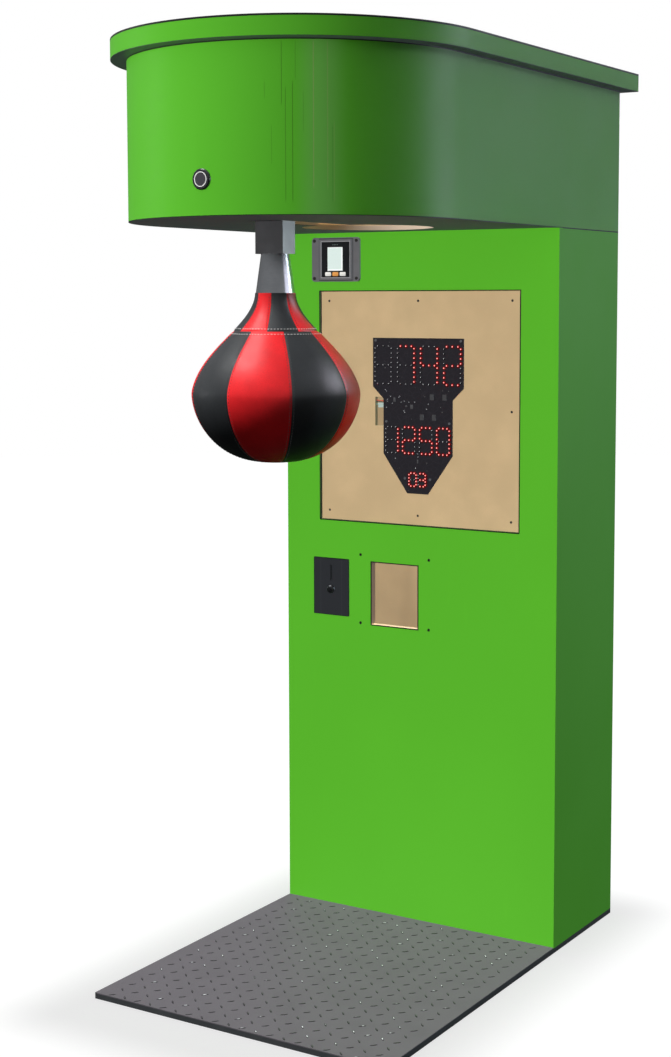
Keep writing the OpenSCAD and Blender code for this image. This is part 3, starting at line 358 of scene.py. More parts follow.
class Finish:
    """A procedural material: one Principled shader, and short names for what feeds it."""

    def __init__(self, name, **constants):
        self.material = bpy.data.materials.new(name)
        self.material.use_nodes = True
        self.tree = self.material.node_tree
        self.shader = self.tree.nodes["Principled BSDF"]
        self.place = self.node("TexCoord", {}).outputs["Object"]
        for socket, value in constants.items():
            self.set(socket.replace("_", " "), value)

    def set(self, socket, value):
        """Sets a constant on the shader, or links a node's output to it."""
        put(self.tree, self.shader.inputs[socket], value)

    def node(self, kind, inputs, **settings):
        """A node of this material."""
        return add_node(self.tree, kind, inputs, **settings)

    def at(self, stretch, turn=(0, 0, 0)):
        """Object coordinates, stretched and turned."""
        return self.node("Mapping", {"Vector": self.place, "Scale": stretch,
                                     "Rotation": turn}).outputs["Vector"]

    def axes(self):
        """Object coordinates as three numbers."""
        return self.node("SeparateXYZ", {"Vector": self.place}).outputs

    def noise(self, scale, detail=2.0, vector=None, distortion=0.0):
        """Cloudy noise from 0 to 1; scale counts its spots in a metre."""
        return self.node("TexNoise", {"Vector": vector or self.place, "Scale": scale,
                                      "Detail": detail, "Distortion": distortion}).outputs["Fac"]

    def cells(self, scale, vector=None, feature="F1"):
        """Distance to the nearest of scattered points, or to the line between two."""
        return self.node("TexVoronoi", {"Vector": vector or self.place, "Scale": scale},
                         feature=feature).outputs["Distance"]

    def span(self, value, start, end, first=0.0, last=1.0, smooth=True):
        """Goes from first to last while value goes from start to end."""
        made = self.node("MapRange", {"Value": value, "From Min": start, "From Max": end,
                                      "To Min": first, "To Max": last},
                         interpolation_type="SMOOTHSTEP" if smooth else "LINEAR")
        return made.outputs["Result"]

    def calc(self, operation, first, second=0.0):
        """One sum on two numbers."""
        return self.node("Math", {0: first, 1: second}, operation=operation).outputs[0]

    def off(self, value, middle):
        """How far a number is from a middle one, either way."""
        return self.calc("ABSOLUTE", self.calc("SUBTRACT", value, middle))

    def past_sides(self, middle, half):
        """How far a point lies past a rectangle's sides, in X and in Z."""
        x, _, z = self.axes()
        return [self.calc("SUBTRACT", self.off(axis, centre), reach)
                for axis, centre, reach in zip((x, z), middle, half)]

    def length(self, first, second):
        """The square root of a * a + b * b."""
        return self.calc("SQRT", self.calc("ADD", self.calc("POWER", first, 2.0),
                                           self.calc("POWER", second, 2.0)))

    def above(self, value, limit):
        """1 where a number is over a limit, else 0."""
        return self.calc("GREATER_THAN", value, limit)

    def below(self, value, limit):
        """1 where a number is under a limit, else 0."""
        return self.calc("LESS_THAN", value, limit)

    def either(self, share, *others):
        """1 where any of the shares is."""
        for other in others:
            share = self.calc("MAXIMUM", share, other)
        return share

    def mix(self, share, first, second, most=1.0):
        """Two colours mixed by a share from 0 to 1, times the most of the second."""
        if most != 1.0:
            share = self.calc("MULTIPLY", share, most)
        return self.node("Mix", {0: share, 6: first, 7: second}, data_type="RGBA").outputs[2]

    def bump(self, height, distance):
        """Raises the surface by a height, in metres, times distance."""
        self.set("Normal", self.node("Bump", {"Height": height, "Distance": distance,
                                              "Strength": 1.0}).outputs["Normal"])
        return self


def shade(colour, factor):
    """A colour made darker or lighter."""
    return tuple(min(1.0, channel * factor) for channel in tuple(colour))


def fibre_board(finish, raw):
    """Pressed board's cut face: fine fibres with darker flecks and soft clouds."""
    raw = tuple(raw)
    clouds = finish.span(finish.noise(9.0, 3.0), 0.3, 0.7)
    flecks = finish.span(finish.noise(900.0), 0.56, 0.7)
    base = finish.mix(clouds, shade(raw, 0.93), shade(raw, 1.05))
    return finish.mix(flecks, base, shade(raw, 0.66), 0.35)


def raw_board_finish(board):
    """Raw pressed board, dull and lightly fibrous."""
    finish = Finish("raw_board", Roughness=0.72, Specular_IOR_Level=0.25)
    finish.set("Base Color", fibre_board(finish, board.raw))
    return finish.bump(finish.noise(1400.0, 3.0), 0.00012).material


def laminate_gloss(finish):
    """The laminate's roughness, which changes slowly."""
    return finish.span(finish.noise(5.0, 3.0), 0.3, 0.7, 0.42, 0.48)


def laminate_finish(name, board, skin, inner=None, seam=None, wear_and_light=None):
    """Green laminate where skin says so, and raw board or the inner colour elsewhere.

    The laminate has a faint pebbled skin, slow changes of gloss and a few fine rubs. The seam
    is the share that is a dark joint, and wear_and_light draws marks on the laminate's colour:
    scratches, and in places painted shade and a painted highlight."""
    finish = Finish(name, Specular_IOR_Level=0.25)
    green = tuple(board.green)
    outside = skin(finish)
    clouds = finish.span(finish.noise(2.2), 0.35, 0.65)
    rubs = finish.span(finish.noise(40.0, 4.0, finish.at((1, 1, 0.12))), 0.66, 0.8)
    laminate = finish.mix(clouds, shade(green, 0.985), shade(green, 1.015))
    laminate = finish.mix(rubs, laminate, shade(green, 1.3), 0.06)
    # Scratches, painted shade and painted highlights drawn on the laminate
    if wear_and_light:
        laminate = wear_and_light(finish, laminate)
    if seam:
        laminate = finish.mix(seam(finish), laminate, tuple(board.joint))
    within = inner(finish) if inner else fibre_board(finish, board.raw)
    finish.set("Base Color", finish.mix(outside, within, laminate))
    finish.set("Roughness", finish.node("Mix", {0: outside, 2: 0.75,
                                                3: laminate_gloss(finish)}).outputs[0])
    return finish.bump(finish.noise(700.0), 0.00003).material


def softwood_finish(board):
    """Planed softwood: stretched grain with narrow darker late wood."""
    finish = Finish("softwood", Roughness=0.62, Specular_IOR_Level=0.3)
    wood = tuple(board.wood)
    grain = finish.noise(22.0, 3.0, finish.at((1, 1, 0.06)), 0.6)
    lines = finish.calc("FRACT", finish.calc("MULTIPLY", grain, 11.0))
    late = finish.span(lines, 0.55, 0.95)
    finish.set("Base Color", finish.mix(late, wood, shade(wood, 0.62), 0.5))
    return finish.bump(lines, 0.00008).material


def painted_board_finish(board):
    """Dark brushed paint on board, with a dusty bloom and fine brush lines."""
    finish = Finish("dark_paint", Specular_IOR_Level=0.35)
    dark = tuple(board.dark)
    dust = finish.span(finish.noise(14.0, 5.0), 0.45, 0.75)
    finish.set("Base Color", finish.mix(dust, dark, shade(dark, 1.7), 0.3))
    finish.set("Roughness", finish.span(dust, 0, 1, 0.5, 0.68))
    return finish.bump(finish.noise(500.0, vector=finish.at((1, 0.1, 1))), 0.00005).material


def black_sheet_finish(board):
    """Black vinyl sheet on the lid, lightly grained."""
    finish = Finish("lid_sheet", Specular_IOR_Level=0.4)
    cover = tuple(board.cover)
    dust = finish.span(finish.noise(6.0, 5.0), 0.4, 0.8)
    finish.set("Base Color", finish.mix(dust, cover, shade(cover, 2.4), 0.35))
    finish.set("Roughness", finish.span(dust, 0, 1, 0.42, 0.6))
    return finish.bump(finish.cells(900.0), 0.00008).material


def plastic_finish(name, colour, roughness=0.45, texture=900.0, depth=0.00004):
    """Moulded plastic: a fine spark-eroded skin and slight changes of gloss."""
    finish = Finish(name, Specular_IOR_Level=0.45)
    cloud = finish.span(finish.noise(30.0, 3.0), 0.35, 0.7)
    finish.set("Base Color", finish.mix(cloud, colour, shade(colour, 1.5), 0.18))
    finish.set("Roughness", finish.span(cloud, 0, 1, roughness - 0.05, roughness + 0.07))
    return finish.bump(finish.noise(texture), depth).material


def metal_finish(name, colour, roughness=0.35, stretch=(1, 1, 0.05), metallic=1.0):
    """Drawn or rolled metal: fine lines along one way, and cloudy stains in its gloss."""
    finish = Finish(name, Metallic=metallic)
    colour = tuple(colour)
    hair = finish.noise(260.0, 3.0, finish.at(stretch))
    stain = finish.noise(18.0, 4.0)
    finish.set("Base Color", finish.mix(finish.span(stain, 0.35, 0.7), shade(colour, 0.86), colour))
    finish.set("Roughness", finish.calc("ADD", finish.span(hair, 0.3, 0.7, -0.06, 0.06),
                                        finish.span(stain, 0.3, 0.7, roughness, roughness + 0.1)))
    return finish.bump(hair, 0.00003).material


def zinc_finish(metal):
    """Zinc-plated sheet: large soft spangles, each a little darker or lighter."""
    finish = Finish("zinc_sheet", Metallic=0.9)
    colour = tuple(metal.zinc)
    spangle = finish.node("TexVoronoi", {"Vector": finish.place, "Scale": 90.0})
    tone = finish.node("SeparateColor", {"Color": spangle.outputs["Color"]}).outputs[0]
    finish.set("Base Color", finish.mix(tone, shade(colour, 0.72), colour))
    finish.set("Roughness", finish.span(tone, 0, 1, 0.34, 0.5))
    return finish.bump(finish.noise(300.0, 3.0), 0.00004).material


def leather_finish(name, colour, ball):
    """Stretched leather: pebbled cells with fine creases, and cloudy changes of tone. Its
    lower part mirrors less."""
    finish = Finish(name)
    colour = tuple(colour)
    finish.set("Specular IOR Level", finish.span(finish.axes()[2], ball.middle - 0.06, ball.middle,
                                                 0.04, 0.42))
    pebble = finish.cells(420.0)
    crease = finish.span(finish.noise(60.0, 4.0), 0.3, 0.75)
    tone = finish.mix(finish.span(finish.noise(16.0, 3.0), 0.3, 0.7), shade(colour, 0.86),
                      shade(colour, 1.06))
    finish.set("Base Color", finish.mix(finish.span(pebble, 0.3, 0.9), tone,
                                        shade(colour, 0.7), 0.3))
    finish.set("Roughness", finish.span(crease, 0, 1, 0.40, 0.47))
    height = finish.calc("ADD", finish.span(pebble, 0.0, 0.7, 1.0, 0.0),
                         finish.calc("MULTIPLY", crease, 0.8))
    return finish.bump(height, 0.00008).material


def thread_finish(name, colour):
    """Waxed twisted thread."""
    finish = Finish(name, Roughness=0.55, Sheen_Weight=0.2)
    twist = finish.noise(1500.0, 1.0)
    finish.set("Base Color", finish.mix(twist, shade(colour, 0.75), tuple(colour)))
    return finish.bump(twist, 0.0001).material


def lamp_finish(name, lamps, lit):
    """A lamp's lens, by its depth behind the tip. A lit one glows: a pale heart, a red dome
    round it and a dim red foot. One that is off is dark, with a small pale glint."""
    finish = Finish(name, Roughness=0.3, Specular_IOR_Level=0.5 if lit else 0.15)
    behind = finish.calc("SUBTRACT", finish.axes()[1], low("leds_lit")[1])
    if lit:
        heart = finish.span(behind, 0.40 * MM, 0.12 * MM)
        front = finish.span(behind, 1.7 * MM, 0.7 * MM)
        foot = finish.span(behind, 2.7 * MM, 2.6 * MM)
        red = tuple(lamps.lit)
        finish.set("Base Color", finish.mix(front, shade(red, 0.05), shade(red, 0.4)))
        glow = finish.mix(front, paint(150, 0, 12), paint(255, 26, 30))
        finish.set("Emission Color", finish.mix(heart, glow, paint(255, 212, 200)))
        # The foot's, the front's and the heart's strength add up to the lamp's
        base = finish.calc("ADD", finish.span(foot, 0.0, 1.0, 0.09, 0.2),
                           finish.span(front, 0.0, 1.0, 0.0, 0.2))
        finish.set("Emission Strength", finish.calc(
            "ADD", base, finish.span(heart, 0.0, 1.0, 0.0, lamps.strength - 0.4)))
    else:
        heart = finish.span(behind, 0.22 * MM, 0.08 * MM)
        grey = tuple(lamps.unlit)
        finish.set("Base Color", finish.mix(heart, shade(grey, 0.04), grey))
    return finish.material


def circuit_finish():
    """Black solder mask over copper: faint tracks, and tiny bright solder points."""
    finish = Finish("circuit_board", Specular_IOR_Level=0.4)
    aslant = finish.at((1, 1, 1), (0, math.radians(45), 0))
    line = finish.span(finish.cells(70.0, aslant, "DISTANCE_TO_EDGE"), 0.02, 0.05, 1.0, 0.0)
    dots = finish.span(finish.cells(120.0), 0.05, 0.09, 1.0, 0.0)
    sparse = finish.span(finish.noise(25.0, 1.0), 0.52, 0.6)
    base = finish.mix(line, paint(36, 34, 39), paint(50, 48, 53), 0.4)
    finish.set("Base Color", finish.mix(finish.calc("MULTIPLY", dots, sparse), base,
                                        paint(180, 180, 176)))
    finish.set("Roughness", finish.span(line, 0, 1, 0.42, 0.3))
    return finish.bump(line, 0.00005).material


def screen_finish():
    """A pale lit screen: slightly green white inside a white border, in a fine grid of dots."""
    finish = Finish("reader_display", Roughness=0.3, Specular_IOR_Level=0.3)
    x, _, z = finish.axes()
    first, last = low("reader_screen"), high("reader_screen")
    dots_in_metre = 900.0
    grid = finish.calc("MULTIPLY", *(
        finish.span(finish.calc("FRACT", finish.calc("MULTIPLY", axis, dots_in_metre)), 0.0, 0.2)
        for axis in (x, z)))
    border = finish.either(finish.above(x, last[0] - 4.2 * MM),
                           finish.below(z, first[2] + 4.2 * MM),
                           finish.above(z, last[2] - 2.2 * MM))
    inner = finish.mix(grid, paint(196, 212, 207), paint(205, 220, 215))
    colour = finish.mix(border, inner, paint(226, 232, 230))
    finish.set("Base Color", colour)
    finish.set("Emission Color", colour)
    finish.set("Emission Strength", 0.3)
    return finish.material


def rubber_finish():
    """Black rubber with a chalky bloom."""
    finish = Finish("rubber", Roughness=0.8, Specular_IOR_Level=0.2)
    bloom = finish.span(finish.noise(60.0, 4.0), 0.4, 0.8)
    finish.set("Base Color", finish.mix(bloom, paint(30, 30, 31), paint(70, 70, 70), 0.4))
    return finish.bump(finish.noise(500.0), 0.0001).material


def tread_finish(tread):
    """Rolled aluminium: dull grey with some dirt. The lozenges' flanks are painted near black as
    shade, their backs are painted darker as shade too, and a few backs carry painted glints."""
    finish = Finish("tread_metal", Metallic=0.1, Specular_IOR_Level=0.35)
    grey = tuple(tread.colour)
    raised = finish.axes()[2]
    top = high("tread_plate")[2]
    side = finish.span(raised, top + 0.1 * MM, top + 0.3 * MM)
    crest = finish.span(raised, top + 0.8 * MM, top + 1.0 * MM)
    dirt = finish.span(finish.noise(11.0, 5.0), 0.4, 0.75)
    base = finish.mix(dirt, grey, shade(grey, 0.7), 0.25)
    # Painted shade: the lozenges' flanks near black
    base = finish.mix(side, base, shade(grey, 0.12))
    # Painted glints on a few backs, and painted shade on the rest of them
    glint = finish.calc("MULTIPLY", crest, finish.span(finish.noise(31.0, 1.0), 0.6, 0.64))
    back = finish.mix(glint, shade(grey, 0.5), paint(232, 234, 238))
    finish.set("Base Color", finish.mix(crest, base, back))
    finish.set("Roughness", finish.span(crest, 0, 1, 0.6, 0.3))
    return finish.bump(finish.noise(420.0, 3.0), 0.00006).material


def dress(material, *nodes):
    """Gives frame nodes a material by their own slots."""
    for node in nodes:
        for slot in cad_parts[node].material_slots:
            slot.material = material


# Operators

class MACHINE_OT_stage(bpy.types.Operator):
    """Floor, lights, sky and camera."""
    bl_idname = "machine.stage"
    bl_label = "Stage"

    # The photograph's view, fitted to the cabinet's edges: place in metres, turn in degrees,
    # film and lens in millimetres, and the picture's shift as shares of its longer side
    CAMERA_PLACE = (2.1292, -3.4491, 1.5348)
    CAMERA_TURN = (84.90, 0.05, 31.40)
    CAMERA = {"sensor_width": 36.0, "lens": 60.53, "shift_x": -0.0303, "shift_y": -0.0637,
              "clip_end": 100.0}

    def execute(self, context):
        stage = context.scene.machine_stage
        self.make_camera(context)
        self.make_sky(context, stage)
        floor = self.make_floor(stage)
        metal = [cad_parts[name] for name in ("swing_arm", "arm_collar")]
        head = [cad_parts[name] for name in ("lid_board", "head_floor", "head_wall")]
        machine = ([floor], "EXCLUDE")
        painted = ([floor, *metal], "EXCLUDE")
        # Name, way it comes from, height above the horizon and width in degrees, strength,
        # colour, what it spares or reaches alone, and which of its light counts. The ball
        # and the reject knob join and leave some of these when they are made.
        for name, *settings in (
                ("key_light", -124, 54, 14, stage.key, WHITE, machine, "diffuse"),
                ("key_gloss", -150, 62, 24, stage.gloss, WHITE, machine, "glossy"),
                ("side_light", 46, 11, 10, stage.side, COOL, machine, "diffuse"),
                ("side_gloss", 46, 5, 10, stage.side * 0.6, COOL, machine, "glossy"),
                ("ball_light", 46, 26, 26, stage.shine, (0.9, 0.88, 1), ([], "INCLUDE"), "glossy"),
                ("edge_light", -166, 6, 5, stage.edge, WHITE, painted, "both"),
                ("metal_light", 54, 8, 92, stage.sheen, (0.84, 0.83, 1), (metal, "INCLUDE"),
                 "glossy"),
                ("under_light", 0, -90, 60, stage.under, WHITE, (head, "INCLUDE"), "both")):
            self.make_sun(name, *settings)
        return {"FINISHED"}

    def make_camera(self, context):
        """The photograph's camera."""
        data = bpy.data.cameras.new("camera")
        for key, value in self.CAMERA.items():
            setattr(data, key, value)
        camera = bpy.data.objects.new("camera", data)
        camera.location = self.CAMERA_PLACE
        camera.rotation_euler = [math.radians(turn) for turn in self.CAMERA_TURN]
        context.scene.collection.objects.link(camera)
        context.scene.camera = camera
        context.scene.view_settings.view_transform = "Standard"

    def make_sky(self, context, stage):
        """White behind the machine, a soft sky as light, and little light from below."""
        world = bpy.data.worlds.new("studio")
        world.use_nodes = True
        tree = world.node_tree
        tree.nodes.clear()
        way = add_node(tree, "TexCoord", {}).outputs["Generated"]
        height = add_node(tree, "SeparateXYZ", {0: way}).outputs["Z"]
        glow = add_node(tree, "MapRange", {"Value": height, "From Min": -0.2, "From Max": 0.3,
                                           "To Min": stage.ground, "To Max": stage.sky},
                        interpolation_type="SMOOTHSTEP").outputs["Result"]
        sky = add_node(tree, "Background", {"Strength": glow, "Color": (0.96, 0.98, 1.0)})
        white = add_node(tree, "Background", {"Strength": 1.0, "Color": WHITE})
        seen = add_node(tree, "LightPath", {}).outputs["Is Camera Ray"]
        choose = add_node(tree, "MixShader", {0: seen, 1: sky.outputs[0], 2: white.outputs[0]})
        add_node(tree, "OutputWorld", {"Surface": choose.outputs[0]})
        context.scene.world = world

    def make_floor(self, stage):
        """A pale disc with a soft shadow where the machine stands, evenly lit beyond it."""
        under, top, soft = -20.5 * MM, -0.5 * MM, 0.22
        rim = stage.floor_radius
        finish = Finish("pale_floor", Roughness=0.9, Specular_IOR_Level=0.0)
        floor = make_object("floor", turned([(0, under), (rim, under), (rim, top), (0, top)], 96),
                            finish.material)
        finish.set("Base Color", paint(168, 164, 168))
        x, y, _ = finish.axes()
        shadow = finish.calc("MULTIPLY", *(
            finish.span(finish.calc("ABSOLUTE", axis), half, half + soft, 1.0, 0.0)
            for axis, half in ((x, -low("head_wall")[0]), (y, high("service_door")[1]))))
        finish.set("Emission Color", WHITE)
        finish.set("Emission Strength", finish.span(shadow, 0.0, 1.0, 0.955, stage.contact, False))
        floor.visible_diffuse = False
        floor.visible_glossy = False
        return floor

    def make_sun(self, name, azimuth, height, width, strength, colour, reach, counts):
        """A distant soft lamp that spares some objects or reaches them alone. It casts no
        shadow, as the even light of the photograph shows none on the machine."""
        data = bpy.data.lights.new(name, "SUN")
        data.angle = math.radians(width)
        data.energy = strength
        data.color = colour
        data.use_shadow = False
        lamp = bpy.data.objects.new(name, data)
        lamp.rotation_euler = (math.radians(90 - height), 0, math.radians(azimuth + 90))
        lamp.visible_glossy = counts != "diffuse"
        lamp.visible_diffuse = counts != "glossy"
        bpy.context.scene.collection.objects.link(lamp)
        objects, state = reach
        receivers = bpy.data.collections.new(name + "_reach")
        for k, target in enumerate(objects):
            receivers.objects.link(target)
            receivers.collection_objects[k].light_linking.link_state = state
        lamp.light_linking.receiver_collection = receivers


class MACHINE_OT_cabinet(bpy.types.Operator):
    """Laminate, raw board and paint on the cabinet's and the base's boards."""
    bl_idname = "machine.cabinet"
    bl_label = "Cabinet"

    # Middle and half sizes, in X and Z, of the four fixing holes' square and of the spare
    # cut-out inside it
    HOLES = ((-0.0625, 0.8277), (0.0970, 0.0855))
    SPARE = ((-0.0620, 0.8187), (0.0655, 0.0775))

    def execute(self, context):
        board = context.scene.machine_board
        skin = board.skin_depth
        front, rear = low("front_panel")[1] + skin, high("service_door")[1] - skin
        half = high("front_panel")[0] - skin
        joint = high("side_panel_right")[2] - 1.2 * MM

        def sides(f):
            """The outer faces at the left and the right."""
            return f.above(f.calc("ABSOLUTE", f.axes()[0]), half)

        def front_skin(f):
            """The front panel's face and sides."""
            return f.either(f.below(f.axes()[1], front), sides(f))

        def rear_skin(f):
            """The faces at the back."""
            return f.above(f.axes()[1], rear)

        dress(laminate_finish("front_laminate", board, front_skin,
                              inner=lambda f: self.cut_edges(f, board), wear_and_light=self.hole_shade),
              "front_panel")
        dress(laminate_finish("side_laminate", board, lambda f: f.either(rear_skin(f), sides(f)),
                              seam=lambda f: f.above(f.axes()[2], joint)),
              "side_panel_left", "side_panel_right")
        dress(laminate_finish("rear_laminate", board, rear_skin), "head_rear_panel")
        dress(laminate_finish("door_laminate", board, rear_skin, inner=self.door_inside),
              "service_door")
        dress(self.display_board_finish(board), "display_board")
        dress(raw_board_finish(board), "shelf")
        dress(softwood_finish(board), "cabinet_battens", "display_battens", "head_battens")
        dress(painted_board_finish(board), "base_board", "rear_kick_panel")
        dress(plastic_finish("edge_trim", paint(12, 14, 12), 0.6), "edge_trims")
        return {"FINISHED"}

    def cut_edges(self, finish, board):
        """The front panel's cut edges are painted near black as shade inside its holes and
        openings, its back is raw, and the spare cut-out's side and top edges are painted brown as
        shade, with a paler sill painted as lit from above."""
        lowest, highest = solids_in("edge_trims")
        spare = int(np.argmin(lowest[:, 2]))
        first, last = lowest[spare], highest[spare]
        middle, half = (first + last) / 2, (last - first) / 2
        _, y, z = finish.axes()
        spare_edge = finish.calc("MULTIPLY", *(
            finish.below(finish.off(finish.axes()[k], middle[k]), half[k] + MM) for k in (0, 2)))
        # Painted light: a pale sill as if lit from above, darker brown sides and top as painted
        # shade
        sill = finish.below(z, first[2] + 4 * MM)
        edge = finish.mix(sill, paint(150, 134, 122), paint(214, 190, 156))
        cut = finish.mix(spare_edge, tuple(board.cut_edge_shade), edge)
        back = finish.above(y, high("front_panel")[1] - FACE_DEPTH)
        return finish.mix(back, cut, fibre_board(finish, board.raw))

    def hole_shade(self, finish, laminate):
        """Painted shade on the laminate: dark rings round the four fixing holes, and a thin dark
        line round the spare cut-out."""
        hole = finish.length(*finish.past_sides(*self.HOLES))
        rim = finish.span(finish.calc("MAXIMUM", *finish.past_sides(*self.SPARE)),
                          1.2 * MM, 2.2 * MM, 1.0, 0.0)
        dark = finish.calc("MAXIMUM", finish.span(hole, 3.2 * MM, 4.2 * MM, 1.0, 0.0), rim)
        # The dark colour is painted shade round the holes and the cut-out
        return finish.mix(dark, laminate, paint(30, 40, 24))

    def door_inside(self, finish):
        """The rear door's inner face: board painted greyer and darker as shade inside the cabinet,
        with soft darker upright streaks.
        """
        # Darker than the raw board: painted shade for the cabinet's inside
        raw = paint(163, 146, 117)
        stain = finish.span(finish.noise(9.0, vector=finish.at((1, 1, 0.25))), 0.5, 0.72)
        return finish.mix(stain, fibre_board(finish, raw), shade(raw, 0.7), 0.5)

    def display_board_finish(self, board):
        """The board in the window: its face is tan and blotched, and its cut edges are a plain
        olive grey, painted darker than raw board as shade in its cut-outs.
        """
        finish = Finish("display_board_face", Roughness=0.7, Specular_IOR_Level=0.25)
        face = finish.below(finish.axes()[1], low("display_board")[1] + FACE_DEPTH)
        blotch = finish.span(finish.noise(14.0), 0.35, 0.65)
        raw = tuple(board.raw)
        tan = finish.mix(blotch, fibre_board(finish, raw), shade(raw, 0.93), 0.5)
        # Olive grey on the cut edges: painted shade
        finish.set("Base Color", finish.mix(face, paint(147, 140, 109), tan))
        return finish.bump(finish.noise(1400.0, 3.0), 0.00012).material


class MACHINE_OT_head(bpy.types.Operator):
    """Laminate on the head's bent wall and lid, paint under its floor."""
    bl_idname = "machine.head"
    bl_label = "Head"

    # Upright scratches: degrees round the wall, lowest and highest point in millimetres, and
    # tone, below nothing for a dark one and above it for a pale one
    SCRATCHES = (
        (-68.2, 1925, 1967, -0.20), (-66.1, 1799, 1883, -0.16), (-63.05, 1912, 2044, -0.34),
        (-61.9, 1726, 1956, -0.30), (-59.8, 1726, 1967, -0.36), (-58.9, 1960, 2044, -0.18),
        (-56.6, 1860, 1948, -0.14), (-53.6, 1752, 2044, 0.32), (-49.4, 1752, 2044, 0.22),
        (-47.9, 1726, 1883, -0.16), (-47.4, 1726, 1890, 0.14))

    def execute(self, context):
        board = context.scene.machine_board
        first, last = low("head_wall"), high("head_wall")
        half, bottom, top = last[0], first[2], last[2]
        centre = first[1] + half

        def skin(f):
            """The outer face: as far from the bend's centre, or beside it, as half the width."""
            x, y, _ = f.axes()
            ahead = f.calc("MINIMUM", f.calc("SUBTRACT", y, centre), 0.0)
            return f.above(f.length(x, ahead), half - board.skin_depth)

        def inside(f):
            """Raw board, painted underneath."""
            return f.mix(f.below(f.axes()[2], bottom + UNDER_DEPTH), fibre_board(f, board.raw),
                         tuple(board.under))

        def joints(f):
            """Dark lines at the wall's foot and under the lid."""
            z = f.axes()[2]
            return f.either(f.below(z, bottom + 1.5 * MM), f.above(z, top - 2.2 * MM))

        dress(laminate_finish("wall_laminate", board, skin, inner=inside, seam=joints,
                              wear_and_light=lambda f, green: self.scratches(f, green, centre)), "head_wall")
        dress(self.lid_finish(board), "lid_board")
        dress(self.floor_finish(board), "head_floor")
        dress(black_sheet_finish(board), "lid_cover")
        return {"FINISHED"}

    def scratches(self, finish, laminate, centre):
        """Fine upright scratches on the wall's right front, each with its own reach, in a
        faint pale band that is a painted highlight."""
        x, y, z = finish.axes()
        angle = finish.calc("ARCTAN2", finish.calc("SUBTRACT", y, centre), x)
        fade, sheen_way = 12 * MM, -51
        dark, pale = [0.0], [0.0]
        for way, lowest, highest, tone in self.SCRATCHES:
            across = finish.off(angle, math.radians(way))
            along = finish.off(z, (lowest + highest) / 2 * MM)
            half = (highest - lowest) / 2 * MM
            share = finish.calc("MULTIPLY",
                                finish.span(across, 0.0010, 0.0034, 1.3 * abs(tone), 0.0),
                                finish.span(along, half - fade, half, 1.0, 0.0))
            (dark if tone < 0 else pale).append(share)
        # A faint pale band round one way on the wall: a painted highlight
        painted_sheen = finish.span(finish.off(angle, math.radians(sheen_way)), 0.02, 0.16, 0.09, 0.0)
        laminate = finish.mix(painted_sheen, laminate, paint(196, 188, 190))
        laminate = finish.mix(finish.either(*dark), laminate, paint(46, 70, 20))
        return finish.mix(finish.either(*pale), laminate, paint(166, 168, 112))

    def lid_finish(self, board):
        """Laminate on the lid's side between two dark lines, dark paint under it."""
        finish = Finish("lid_laminate", Specular_IOR_Level=0.25)
        z = finish.axes()[2]
        bottom, top = low("lid_board")[2], high("lid_board")[2]
        lines = finish.either(finish.below(z, bottom + 0.9 * MM), finish.above(z, top - 1.1 * MM))
        green = tuple(board.green)
        laminate = finish.mix(finish.noise(2.2), shade(green, 0.98), shade(green, 1.02))
        laminate = finish.mix(lines, laminate, tuple(board.joint))
        finish.set("Base Color", finish.mix(finish.below(z, bottom + UNDER_DEPTH), laminate,
                                            shade(board.under, 0.9)))
        finish.set("Roughness", laminate_gloss(finish))
        return finish.bump(finish.noise(700.0), 0.00003).material

    def floor_finish(self, board):
        """Grey-green paint under the head's floor, raw board at its cut edges and on top."""
        finish = Finish("head_floor_paint", Roughness=0.7, Specular_IOR_Level=0.15)
        under = finish.below(finish.axes()[2], low("head_floor")[2] + UNDER_DEPTH)
        painted = finish.mix(finish.noise(12.0, 4.0), shade(board.under, 0.9),
                             shade(board.under, 1.15))
        raw = fibre_board(finish, paint(198, 182, 162))
        finish.set("Base Color", finish.mix(under, raw, painted))
        return finish.bump(finish.noise(600.0), 0.00006).material


class MACHINE_OT_tread(bpy.types.Operator):
    """The tread plate's metal and its raised lozenges."""
    bl_idname = "machine.tread"
    bl_label = "Tread plate"

    def execute(self, context):
        tread = context.scene.machine_tread
        metal = tread_finish(tread)
        dress(metal, "tread_plate")
        first, last = low("tread_plate"), high("tread_plate")
        half = tread.length / 2
        # Columns and rows of a grid that is wider than the plate, turned to and fro by turns
        i, j = np.meshgrid(np.arange(-14, 15), np.arange(-18, 12), indexing="ij")
        x = (i - 0.5) * tread.pitch
        y = (j - 0.2) * tread.pitch
        turn = np.where((i + j) % 2 == 1, 1.0, -1.0) * math.pi / 4
        reach = half * 0.75
        inside = ((abs(x) < last[0] - reach) & (y > first[1] + reach)
                  & (y < low("front_panel")[1] - 0.2 * reach))
        x, y, turn = x[inside], y[inside], turn[inside]
        zero = np.zeros_like(x)
        places = np.column_stack([x, y, zero + last[2]])
        along = np.column_stack([np.cos(turn), np.sin(turn), zero])
        across = np.column_stack([-np.sin(turn), np.cos(turn), zero])
        out = np.column_stack([zero, zero, zero + 1])
        shape = copies(self.lozenge(half, tread.width / 2, tread.height), places, along, across,
                       out)
        make_piece("tread_lozenges", shape, [metal], "cabinet", sharp=50)
        return {"FINISHED"}

    def lozenge(self, half, half_width, height):
        """A pointed oval: its width shrinks as 1 - s * s and its height as the root of that
        towards its two ends. The lower half of each section is flat, just inside the plate."""
        sides = 8
        s = np.linspace(-0.92, 0.92, 7)
        angle = np.arange(sides) * math.pi / 4 + math.pi / sides
        size = 1 - s ** 2
        across = half_width * size[:, None] * np.cos(angle)
        up = np.maximum(height * np.sqrt(size)[:, None] * np.sin(angle), -0.2 * MM)
        rings = np.stack([np.repeat(half * s[:, None], sides, axis=1), across, up], axis=-1)
        # A ring runs counter-clockwise seen from its far end, along +X
        return closed_rings(rings, (-half, 0, -0.1 * MM), (half, 0, -0.1 * MM))


